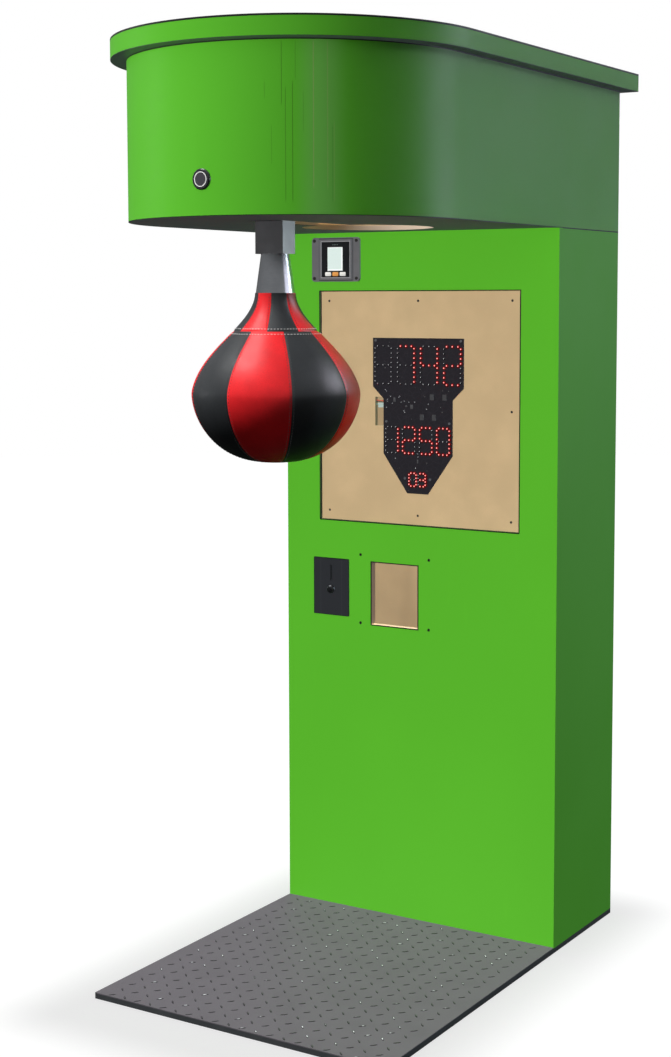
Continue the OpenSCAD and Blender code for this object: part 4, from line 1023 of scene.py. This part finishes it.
class MACHINE_OT_ball(bpy.types.Operator):
    """The leather ball: red and black panels, drawn-in seams and stitches."""
    bl_idname = "machine.ball"
    bl_label = "Ball"

    PANELS = 8
    STEP = 2 * math.pi / PANELS

    def execute(self, context):
        ball = context.scene.machine_ball
        angle = self.angles()
        rings = self.surface(ball, angle, self.levels(ball)[:, None])
        bottom = (0, rings[0, :, 1].mean(), ball.middle - ball.lower)
        top = (0, bottom[1], ball.middle + ball.upper)
        # Colours: body panels from one seam to the next, neck panels half a panel on
        middle_angle = angle + np.diff(np.append(angle, 2 * math.pi)) / 2
        heights = rings[:, 0, 2]
        neck = (heights[:-1] + heights[1:]) / 2 > ball.seam_height
        body_kind = np.floor(middle_angle / self.STEP).astype(int) % 2
        neck_kind = np.floor(middle_angle / self.STEP + 0.5).astype(int) % 2
        kinds = np.where(neck[:, None], neck_kind, body_kind).reshape(-1)
        kinds = np.concatenate([kinds, body_kind, neck_kind])
        leather = [leather_finish("red_leather", ball.red, ball),
                   leather_finish("black_leather", ball.black, ball)]
        piece = make_piece("punch_ball", closed_rings(rings, bottom, top), leather, "swing",
                           replaces=("ball",), sharp=75, kinds=kinds)
        bpy.data.collections["ball_light_reach"].objects.link(piece)
        spared = bpy.data.collections["side_gloss_reach"]
        spared.objects.link(piece)
        spared.collection_objects[-1].light_linking.link_state = "EXCLUDE"
        self.make_stitches(ball)
        return {"FINISHED"}

    def angles(self):
        """Columns lie close together beside each seam, and wider between. Panels meet every
        45 degrees below the level seam, and halfway between those above it."""
        half = 360 / self.PANELS / 2
        beside = np.array([0, 0.35, 0.8, 1.5, 2.6, 4.6, 7.6, half / 2])
        one = np.unique(np.concatenate([beside, half - beside[:0:-1]]).round(4))
        starts = np.arange(2 * self.PANELS) * half
        return np.radians((starts[:, None] + one).reshape(-1))

    def seam_level(self, ball):
        """Where the level seam is, as levels() counts."""
        return 1 + (ball.seam_height - ball.middle) / ball.upper

    def levels(self, ball):
        """Rows, as a number that is 0 at the bottom, 1 at the widest place and 2 at the
        collar, closer together beside the level seam."""
        beside = np.array([-6, -4, -2.6, -1.6, -0.8, 0, 0.8, 1.6, 2.6, 4, 6]) * MM
        near = beside / ball.upper + self.seam_level(ball)
        lower = np.linspace(0.02, 1.0, 34)
        body = np.linspace(1.0, near[0], 30)[1:-1]
        neck = np.linspace(near[-1], 2.0, 22)[1:]
        return np.concatenate([lower, body, near, neck])

    def surface(self, ball, angle, level):
        """The ball's skin. Below the widest place it is a squared quarter ellipse, with the
        radius as (1 - cos(t) ** 1.75) ** 0.4 and the height as cos(t). Above it the radius
        falls to the neck's as half a cosine of the height. Panels add a crown of
        sin(pi * s) ** 2, nothing at the seams, where exp(-g * g) draws the skin in."""
        angle, level = np.broadcast_arrays(angle, level)
        t = np.clip(level, 0, 1) * math.pi / 2
        u = np.clip(level - 1, 0, 1)
        fall = (1 + np.cos(math.pi * u ** (0.88 + 0.6 * u - 0.45 * u ** 2))) / 2
        full = np.clip(1 - np.cos(t) ** 1.75, 0, 1) ** 0.4
        radius = np.where(level < 1, ball.radius * full,
                          ball.neck + (ball.radius - ball.neck) * fall)
        height = ball.middle + np.where(level < 1, -ball.lower * np.cos(t), ball.upper * u)
        step = self.STEP
        on_neck = height > ball.seam_height
        shifted = np.where(on_neck, angle + step / 2, angle)
        off_seam = (shifted + step / 2) % step - step / 2
        gap = off_seam * radius
        width = ball.seam_width / 2
        groove = np.exp(-(gap / width) ** 2)
        ends = np.clip((height - (ball.middle - ball.lower)) / 0.05, 0, 1)
        collar = np.clip((ball.middle + ball.upper - height) / 0.03, 0, 1)
        crown = ball.crown * np.sin(math.pi * (off_seam % step) / step) ** 2 * ends * collar
        level_gap = (height - ball.seam_height) / width
        cross = np.exp(-level_gap ** 2)
        draw = ball.seam_depth * np.maximum(groove * ends * collar, cross)
        radius = np.maximum(radius + crown * (1 - cross) - draw, radius * 0.5)
        centre = (low("ball")[1] + high("ball")[1]) / 2
        return np.stack([radius * np.cos(angle), centre + radius * np.sin(angle), height], axis=-1)

    def frames(self, ball, angle, level, level_way):
        """Places on the skin with the axes of a stitch there: along its row, across it and
        outwards. Axes come from small steps in angle and level."""
        small = 1e-4
        place = self.surface(ball, angle, level)
        round_way = self.surface(ball, angle + small, level) - place
        up_way = self.surface(ball, angle, level + small) - place
        outwards = np.cross(round_way, up_way)
        onwards = up_way if level_way else round_way
        out = outwards / np.linalg.norm(outwards, axis=-1, keepdims=True)
        along = onwards / np.linalg.norm(onwards, axis=-1, keepdims=True)
        return place, along, np.cross(out, along), out

    def stitch(self, ball, share):
        """A short thread: a spindle whose section shrinks towards its ends."""
        s = np.linspace(-0.8, 0.8, 4)
        angle = np.arange(6) * math.pi / 3
        size = ball.stitch_width / 2 * share * np.sqrt(1 - s ** 2)[:, None]
        half = ball.stitch / 2
        rings = np.stack([np.repeat(half * s[:, None], 6, axis=1), size * np.cos(angle),
                          size * np.sin(angle)], axis=-1)
        return closed_rings(rings, (-half, 0, 0), (half, 0, 0))

    def make_stitches(self, ball):
        """Two bright rows beside the level seam, and fine dark rows beside the others."""
        seam = self.seam_level(ball)
        rows = []
        for above_seam in (-5.6 * MM, 5.2 * MM):
            level = seam + above_seam / ball.upper
            radius = self.surface(ball, 0.0, level)[0]
            count = int(round(2 * math.pi * radius / ball.stitch_pitch))
            angle = (np.arange(count) + 0.5) * 2 * math.pi / count
            rows.append(self.stitch_row(ball, angle, np.full(count, level), False, 1.0, 0.3 * MM))
        make_piece("level_stitches", merged(rows), [thread_finish("white_thread", ball.thread)],
                   "swing", sharp=80)
        rows = []
        clear, beside = 0.045, 4.2 * MM
        for first, last, shift in ((0.12, seam - clear, 0.0), (seam + clear, 1.97, 0.5)):
            fine = np.linspace(first, last, 400)
            track = self.surface(ball, 0.0, fine)
            length = np.append(0, np.cumsum(np.linalg.norm(np.diff(track, axis=0), axis=1)))
            count = int(length[-1] / ball.stitch_pitch)
            level = np.interp((np.arange(count) + 0.5) * length[-1] / count, length, fine)
            radius = np.maximum(self.surface(ball, 0.0, level)[:, 0], 0.02)
            for side in (-1, 1):
                for k in range(self.PANELS):
                    angle = (k + shift) * self.STEP + side * beside / radius
                    rows.append(self.stitch_row(ball, angle, level, True, 0.62, 0.1 * MM))
        make_piece("panel_stitches", merged(rows),
                   [thread_finish("grey_thread", paint(36, 34, 36))], "swing",
                   sharp=80)

    def stitch_row(self, ball, angle, level, level_way, share, lift):
        """Stitches at places on the skin, their thickness a share of the thread's width."""
        place, along, across, out = self.frames(ball, angle, level, level_way)
        return copies(self.stitch(ball, share), place + out * lift, along, across, out)


class MACHINE_OT_swing(bpy.types.Operator):
    """Painted arm, turned collar, shaft, bearings and the latch that holds the ball up."""
    bl_idname = "machine.swing"
    bl_label = "Swing and latch"

    def execute(self, context):
        metal = context.scene.machine_metal
        dress(self.arm_finish(metal), "swing_arm")
        dress(self.collar_finish(metal), "arm_collar")
        steel = metal_finish("drawn_steel", metal.steel, 0.26, (0.05, 1, 1))
        dress(steel, "swing_shaft", "ball_stud", "latch_pawl", "solenoid_plunger",
              "mechanism_bolts", "lock_cam")
        dress(metal_finish("bright_zinc", paint(104, 106, 110), 0.4, metallic=0.25),
              "score_board_screws")
        zinc = zinc_finish(metal)
        dress(zinc, "bearing_plate", "latch_bracket", "power_supply", "hinge_leaves_fixed",
              "hinge_leaves_door", "lock_body", "coin_chute", "cash_box")
        dress(plastic_finish("cast_housing", paint(84, 90, 96), 0.55, 500.0, 0.00012),
              "pillow_blocks", "control_unit")
        dress(rubber_finish(), "rest_bumper")
        dress(plastic_finish("sensor_plastic", paint(30, 31, 33), 0.5), "code_wheel",
              "swing_sensor", "start_button_switch", "power_inlet")
        # Darker than the other black plastic: painted shade seen through the coin slot
        dress(plastic_finish("validator_plastic", paint(14, 14, 15), 0.75), "coin_validator")
        dress(self.winding_finish(), "solenoid")
        return {"FINISHED"}

    def arm_finish(self, metal):
        """Satin paint over steel, with a little orange peel."""
        finish = Finish("arm_paint", Specular_IOR_Level=0.7, Coat_Weight=0.5, Coat_Roughness=0.25)
        colour = tuple(metal.arm)
        cloud = finish.span(finish.noise(35.0, 3.0), 0.35, 0.7)
        finish.set("Base Color", finish.mix(cloud, shade(colour, 0.92), shade(colour, 1.1)))
        finish.set("Roughness", finish.span(cloud, 0, 1, 0.36, 0.46))
        return finish.bump(finish.noise(420.0, 1.0), 0.00006).material

    def collar_finish(self, metal):
        """Turned steel: fine rings round the axis, seen as lines at each height."""
        finish = Finish("turned_steel", Metallic=1.0)
        colour = tuple(metal.collar)
        rings = finish.noise(1500.0, vector=finish.at((0.02, 0.02, 1)))
        stain = finish.span(finish.noise(25.0, 3.0), 0.3, 0.7)
        finish.set("Base Color", finish.mix(stain, shade(colour, 0.9), colour))
        finish.set("Roughness", finish.span(rings, 0.3, 0.7, 0.16, 0.26))
        return finish.bump(rings, 0.00002).material

    def winding_finish(self):
        """Varnished copper winding in its yoke: lines round the coil."""
        finish = Finish("winding", Roughness=0.35, Coat_Weight=0.4)
        lines = finish.calc("PINGPONG", finish.calc("MULTIPLY", finish.axes()[1], 700.0), 1.0)
        finish.set("Base Color", finish.mix(lines, paint(120, 62, 30), paint(190, 116, 62)))
        return finish.bump(lines, 0.0003).material


class MACHINE_OT_score_board(bpy.types.Operator):
    """The black circuit board with its lit and unlit lamps, integrated circuits, cable and screws.
    """
    bl_idname = "machine.score_board"
    bl_label = "Score board"

    def execute(self, context):
        lamps = context.scene.machine_lamps
        dress(circuit_finish(), "score_board")
        dress(plastic_finish("chip_epoxy", paint(66, 66, 68), 0.5), "score_board_chips")
        dress(plastic_finish("plug_white", paint(176, 194, 186), 0.4), "display_cable")
        dress(plastic_finish("screw_black", paint(42, 40, 38), 0.4), "display_screws",
              "reader_screws")
        self.make_lamps(lamps, "leds_lit", "led_lit", True)
        self.make_lamps(lamps, "leds_unlit", "led_unlit", False)
        self.make_small_parts()
        self.make_wires()
        return {"FINISHED"}

    # Solder points' places on the board's face, in millimetres right of the machine's middle
    # and above the floor, then small components' places and half sizes
    SOLDER = ((-84.5, 1299.9), (-84.5, 1294.9), (-87.3, 1280.3), (-46.0, 1293.7), (-36.7, 1296.3),
              (-24.1, 1294.4), (-8.1, 1294.9), (-49.5, 1308.4), (-52.8, 1305.6), (-90.2, 1323.0),
              (-87.6, 1319.8), (-76.0, 1307.3), (29.4, 1291.0), (24.6, 1278.8), (-38.5, 1273.0),
              (-36.6, 1269.6), (0.3, 1169.3), (1.5, 1162.2), (-5.8, 1134.8), (-33.8, 1108.8),
              (36.0, 1108.4), (-62.4, 1156.5), (-71.0, 1290.4))
    PARTS = ((-64.5, 1299.3, 3.0, 5.2), (-31.6, 1284.3, 2.6, 1.8), (-16.2, 1283.3, 3.6, 5.4),
             (0.6, 1151.1, 1.8, 4.6))
    # The wires' two ends and radius, and how far they lie behind the display board's face
    WIRE_ENDS = (-120 * MM, -88 * MM)
    WIRE_RADIUS = 1.1 * MM
    WIRE_DEPTH = 6 * MM
    WIRES = (("red_wire_upper", 1.2966, 1.2 * MM, (184, 44, 28)),
             ("black_wire", 1.2938, 1.6 * MM, (40, 30, 30)),
             ("teal_wire", 1.2872, 1.0 * MM, (120, 168, 158)))

    def make_small_parts(self):
        """Solder points as low domes, and four small components with rounded edges."""
        face = low("score_board")[1]
        places = [(x * MM, face, z * MM) for x, z in self.SOLDER]
        make_piece("solder_points", facing_player(dome(1.1 * MM, 0.7 * MM), places),
                   [metal_finish("solder", paint(214, 218, 222), 0.4, metallic=0.2)], "cabinet",
                   sharp=60)
        thickness, corner, edge = 1.2 * MM, 0.6 * MM, 0.3 * MM
        parts = [facing_player(rounded_plate(half_w * MM, half_h * MM, thickness, corner, edge),
                               (x * MM, face, z * MM)) for x, z, half_w, half_h in self.PARTS]
        make_piece("small_components", merged(parts),
                   [plastic_finish("component_grey", paint(74, 74, 76), 0.5)], "cabinet")

    def make_wires(self):
        """Three thin wires beside the plug, in the display board's cut-out: tubes round a
        sagging line, whose height falls by 1 - s * s towards its middle."""
        left, right = self.WIRE_ENDS
        depth = low("display_board")[1] + self.WIRE_DEPTH
        reach = np.linspace(-1, 1, 15)[:, None]
        around = np.arange(8) * math.pi / 4
        x = (left + right) / 2 + reach * (right - left) / 2
        y = depth + self.WIRE_RADIUS * np.cos(around)
        for name, height, sag, colour in self.WIRES:
            z = height - sag * (1 - reach ** 2) + self.WIRE_RADIUS * np.sin(around)
            rings = np.stack(np.broadcast_arrays(x, y, z), axis=-1)
            shape = closed_rings(rings, (left, depth, height), (right, depth, height))
            make_piece(name, shape, [plastic_finish(name + "_cover", paint(*colour), 0.45)],
                       "cabinet", sharp=60)

    def make_lamps(self, lamps, node, slot, lit):
        """Domes in place of a node's lamps: a skirt and a short barrel that ends in half an
        ellipse."""
        lowest, highest = solids_in(node)
        places = (lowest + highest) / 2
        places[:, 1] = highest[:, 1]
        radius = (highest - lowest)[:, 0].mean() / 2
        length = (highest - lowest)[:, 1].mean()
        barrel = length * 0.45
        skirt, foot = radius * 1.12, radius * (1.9 if lit else 1.12)
        profile = [(0, 0), (foot, 0), (foot, length * 0.08), (skirt, length * 0.14),
                   (radius, length * 0.22),
                   *(quarter_ellipse(radius, length - barrel, 5) + [0, barrel]), (0, length)]
        make_piece("lit_lamps" if lit else "unlit_lamps",
                   facing_player(turned(profile, lamps.rounds), places),
                   [lamp_finish("lit_lens" if lit else "unlit_lens", lamps, lit)], "cabinet",
                   replaces=(node,), sharp=40)


class MACHINE_OT_coin_unit(bpy.types.Operator):
    """The coin unit's coated plate and its reject button."""
    bl_idname = "machine.coin_unit"
    bl_label = "Coin unit"

    def execute(self, context):
        metal = context.scene.machine_metal
        dress(self.plate_finish(metal), "coin_plate")
        first, last = low("reject_button"), high("reject_button")
        place = (first + last) / 2
        place[1] = last[1]
        radius, length = (last[0] - first[0]) / 2, last[1] - first[1]
        round_off = radius * 0.55
        profile = [(0, 0), (radius, 0), (radius, length - round_off)]
        profile += [(radius - round_off * (1 - math.cos(a)), length - round_off * (1 - math.sin(a)))
                    for a in np.linspace(0, math.pi / 2, 7)[1:]]
        profile += [(0, length)]
        knob = make_piece("reject_knob", facing_player(turned(profile, 40), place),
                          [metal_finish("knob_chrome", paint(100, 102, 106), 0.38, (1, 1, 1))],
                          "reject", replaces=("reject_button",))
        bpy.data.collections["metal_light_reach"].objects.link(knob)
        return {"FINISHED"}

    def plate_finish(self, metal):
        """Fine textured coating with two soft paler upright lines painted as highlights, and
        painted shade at its rim and along its coin slot."""
        finish = Finish("coin_coating", Metallic=0.2, Specular_IOR_Level=0.4)
        colour = tuple(metal.coin)
        first, last = low("coin_plate"), high("coin_plate")
        middle, half = (first + last) / 2, (last - first) / 2
        aside, z = finish.off(finish.axes()[0], middle[0]), finish.axes()[2]
        # Two soft paler upright lines: painted highlights
        highlight_lines = finish.span(finish.off(aside, 31 * MM), 0.0, 2.2 * MM, 1.0, 0.0)
        face = finish.mix(highlight_lines, colour, shade(colour, 1.6), 0.5)
        # Painted shade along the coin slot and at the plate's rim
        slot = finish.calc("MULTIPLY", finish.below(aside, 2.7 * MM),
                           finish.below(finish.off(z, middle[2] + 35 * MM), 19.5 * MM))
        dark = finish.either(finish.above(aside, half[0] - 1.2 * MM),
                             finish.above(z, last[2] - 1.6 * MM),
                             finish.below(z, first[2] + 1.0 * MM), slot)
        finish.set("Base Color", finish.mix(dark, face, shade(colour, 0.2)))
        finish.set("Roughness", finish.span(finish.noise(50.0, 3.0), 0.3, 0.7, 0.42, 0.54))
        return finish.bump(finish.noise(900.0), 0.00006).material


class MACHINE_OT_card_reader(bpy.types.Operator):
    """The card reader: coated plate, black unit, pale screen and blank coloured tabs."""
    bl_idname = "machine.card_reader"
    bl_label = "Card reader"

    def execute(self, context):
        metal = context.scene.machine_metal
        dress(self.plate_finish(metal), "reader_plate")
        dress(plastic_finish("reader_black", paint(24, 25, 28), 0.4, 1200.0, 0.00001),
              "reader_unit")
        dress(screen_finish(), "reader_screen")
        self.make_dots()
        self.make_tabs()
        return {"FINISHED"}

    def plate_finish(self, metal):
        """Coated plate: a dark line at the foot of its raised frame, painted as shade, and a paler
        rim round the unit, painted as a highlight, both by how far they are past the unit's sides."""
        finish = Finish("reader_coating", Specular_IOR_Level=0.45)
        colour, black = tuple(metal.reader), paint(24, 25, 28)
        # The frame's opening is wider than the unit, on the right alone
        first, last = low("reader_unit"), high("reader_unit") + [3.2 * MM, 0, 0]
        middle, half = (first + last) / 2, (last - first) / 2
        past = finish.calc("MAXIMUM", *finish.past_sides(middle[::2], half[::2]))
        # Paler rim round the unit: a painted highlight
        rim = finish.calc("MULTIPLY", finish.span(past, 0.0, 0.4 * MM),
                          finish.span(past, 2.6 * MM, 1.8 * MM))
        # Dark line at the frame's foot: painted shade
        foot = finish.calc("MULTIPLY", finish.span(past, 6.2 * MM, 7.0 * MM),
                           finish.span(past, 9.6 * MM, 8.6 * MM))
        cloud = finish.span(finish.noise(30.0, 3.0), 0.35, 0.7)
        base = finish.mix(cloud, colour, shade(colour, 1.12))
        base = finish.mix(rim, base, paint(176, 176, 180), 0.55)
        base = finish.mix(finish.span(past, 0.0, 0.3 * MM, 1.0, 0.0), base, black)
        finish.set("Base Color", finish.mix(foot, base, paint(44, 44, 48), 0.7))
        finish.set("Roughness", finish.span(cloud, 0, 1, 0.44, 0.54))
        return finish.bump(finish.noise(800.0), 0.00006).material

    def make_dots(self):
        """Four small pale domes in a row above the screen."""
        first, last = low("reader_unit"), high("reader_unit")
        width, height = last[0] - first[0], last[2] - first[2]
        places = [(first[0] + width * (0.42 + 0.055 * k), first[1], last[2] - height * 0.08)
                  for k in range(4)]
        make_piece("reader_dots", facing_player(dome(1.0 * MM, 0.4 * MM), places),
                   [plastic_finish("dot_grey", paint(150, 166, 158), 0.4)], "cabinet",
                   sharp=60)

    def make_tabs(self):
        """Three blank tabs below the screen."""
        first, last = low("reader_screen"), high("reader_screen")
        face = low("reader_unit")[1]
        centre, height = (first[0] + last[0]) / 2 + 1 * MM, first[2] - 8.3 * MM
        pitch, half_w, half_h, thickness, corner, edge = (
            size * MM for size in (21.1, 8.6, 4.9, 0.5, 2.2, 0.2))
        tab = rounded_plate(half_w, half_h, thickness, corner, edge)
        white = plastic_finish("tab_white", paint(236, 236, 230), 0.4)
        warm = plastic_finish("tab_orange", paint(232, 160, 84), 0.4)
        for k, material in ((-1, white), (0, warm), (1, white)):
            place = (centre + k * pitch, face, height)
            make_piece(f"reader_tab_{k + 2}", facing_player(tab, place), [material], "cabinet")


class MACHINE_OT_start_button(bpy.types.Operator):
    """The start button: moulded body, pale ring and domed cap."""
    bl_idname = "machine.start_button"
    bl_label = "Start button"

    def execute(self, context):
        dress(plastic_finish("button_black", paint(46, 47, 50), 0.3), "start_button_body")
        dress(self.ring_finish(), "start_button_ring")
        dress(plastic_finish("button_cap", paint(68, 66, 72), 0.3), "start_button_cap")
        return {"FINISHED"}

    def ring_finish(self):
        """A white ring between two dark lips, by the distance from the button's middle."""
        finish = Finish("button_ring", Roughness=0.3, Specular_IOR_Level=0.4)
        first, last = low("start_button_ring"), high("start_button_ring")
        middle, half = (first + last) / 2, (last - first) / 2
        x, _, z = finish.axes()
        radius = finish.length(finish.calc("SUBTRACT", x, middle[0]),
                               finish.calc("SUBTRACT", z, middle[2]))
        core = finish.off(radius, half[0] - 1.1 * MM)
        white = finish.mix(finish.noise(60.0), paint(236, 234, 232), paint(250, 248, 246))
        finish.set("Base Color", finish.mix(finish.span(core, 0.7 * MM, 1.0 * MM), white,
                                            paint(60, 60, 64)))
        return finish.material


class MACHINE_PT_panel(bpy.types.Panel):
    """Lists the machine's pieces, and the sizes and colours that they use."""
    bl_idname = "MACHINE_PT_panel"
    bl_label = "Boxing machine"
    bl_space_type = "VIEW_3D"
    bl_region_type = "UI"
    bl_category = "Machine"

    def draw(self, context):
        for operator in OPERATORS:
            self.layout.operator(operator.bl_idname)
        for name in SETTINGS:
            group = getattr(context.scene, name)
            box = self.layout.box()
            for key in group.__annotations__:
                box.prop(group, key)


SETTINGS = {
    "machine_stage": StageSettings,
    "machine_board": BoardSettings,
    "machine_tread": TreadSettings,
    "machine_ball": BallSettings,
    "machine_lamps": LampSettings,
    "machine_metal": MetalSettings,
}
OPERATORS = (MACHINE_OT_stage, MACHINE_OT_cabinet, MACHINE_OT_head, MACHINE_OT_tread,
             MACHINE_OT_ball, MACHINE_OT_swing, MACHINE_OT_score_board, MACHINE_OT_coin_unit,
             MACHINE_OT_card_reader, MACHINE_OT_start_button)


def register():
    """Makes the settings, the operators and the panel known to Blender."""
    for name, group in SETTINGS.items():
        bpy.utils.register_class(group)
        setattr(bpy.types.Scene, name, PointerProperty(type=group))
    for kind in (*OPERATORS, MACHINE_PT_panel):
        bpy.utils.register_class(kind)


def unregister():
    """Takes them away again."""
    for kind in (MACHINE_PT_panel, *reversed(OPERATORS)):
        bpy.utils.unregister_class(kind)
    for name, group in SETTINGS.items():
        delattr(bpy.types.Scene, name)
        bpy.utils.unregister_class(group)


def main():
    """Makes the stage and every piece."""
    register()
    for operator in OPERATORS:
        group, call = operator.bl_idname.split(".")
        if getattr(getattr(bpy.ops, group), call)() != {"FINISHED"}:
            raise RuntimeError(f"{operator.bl_label} was not finished")


if __name__ == "__main__":
    main()
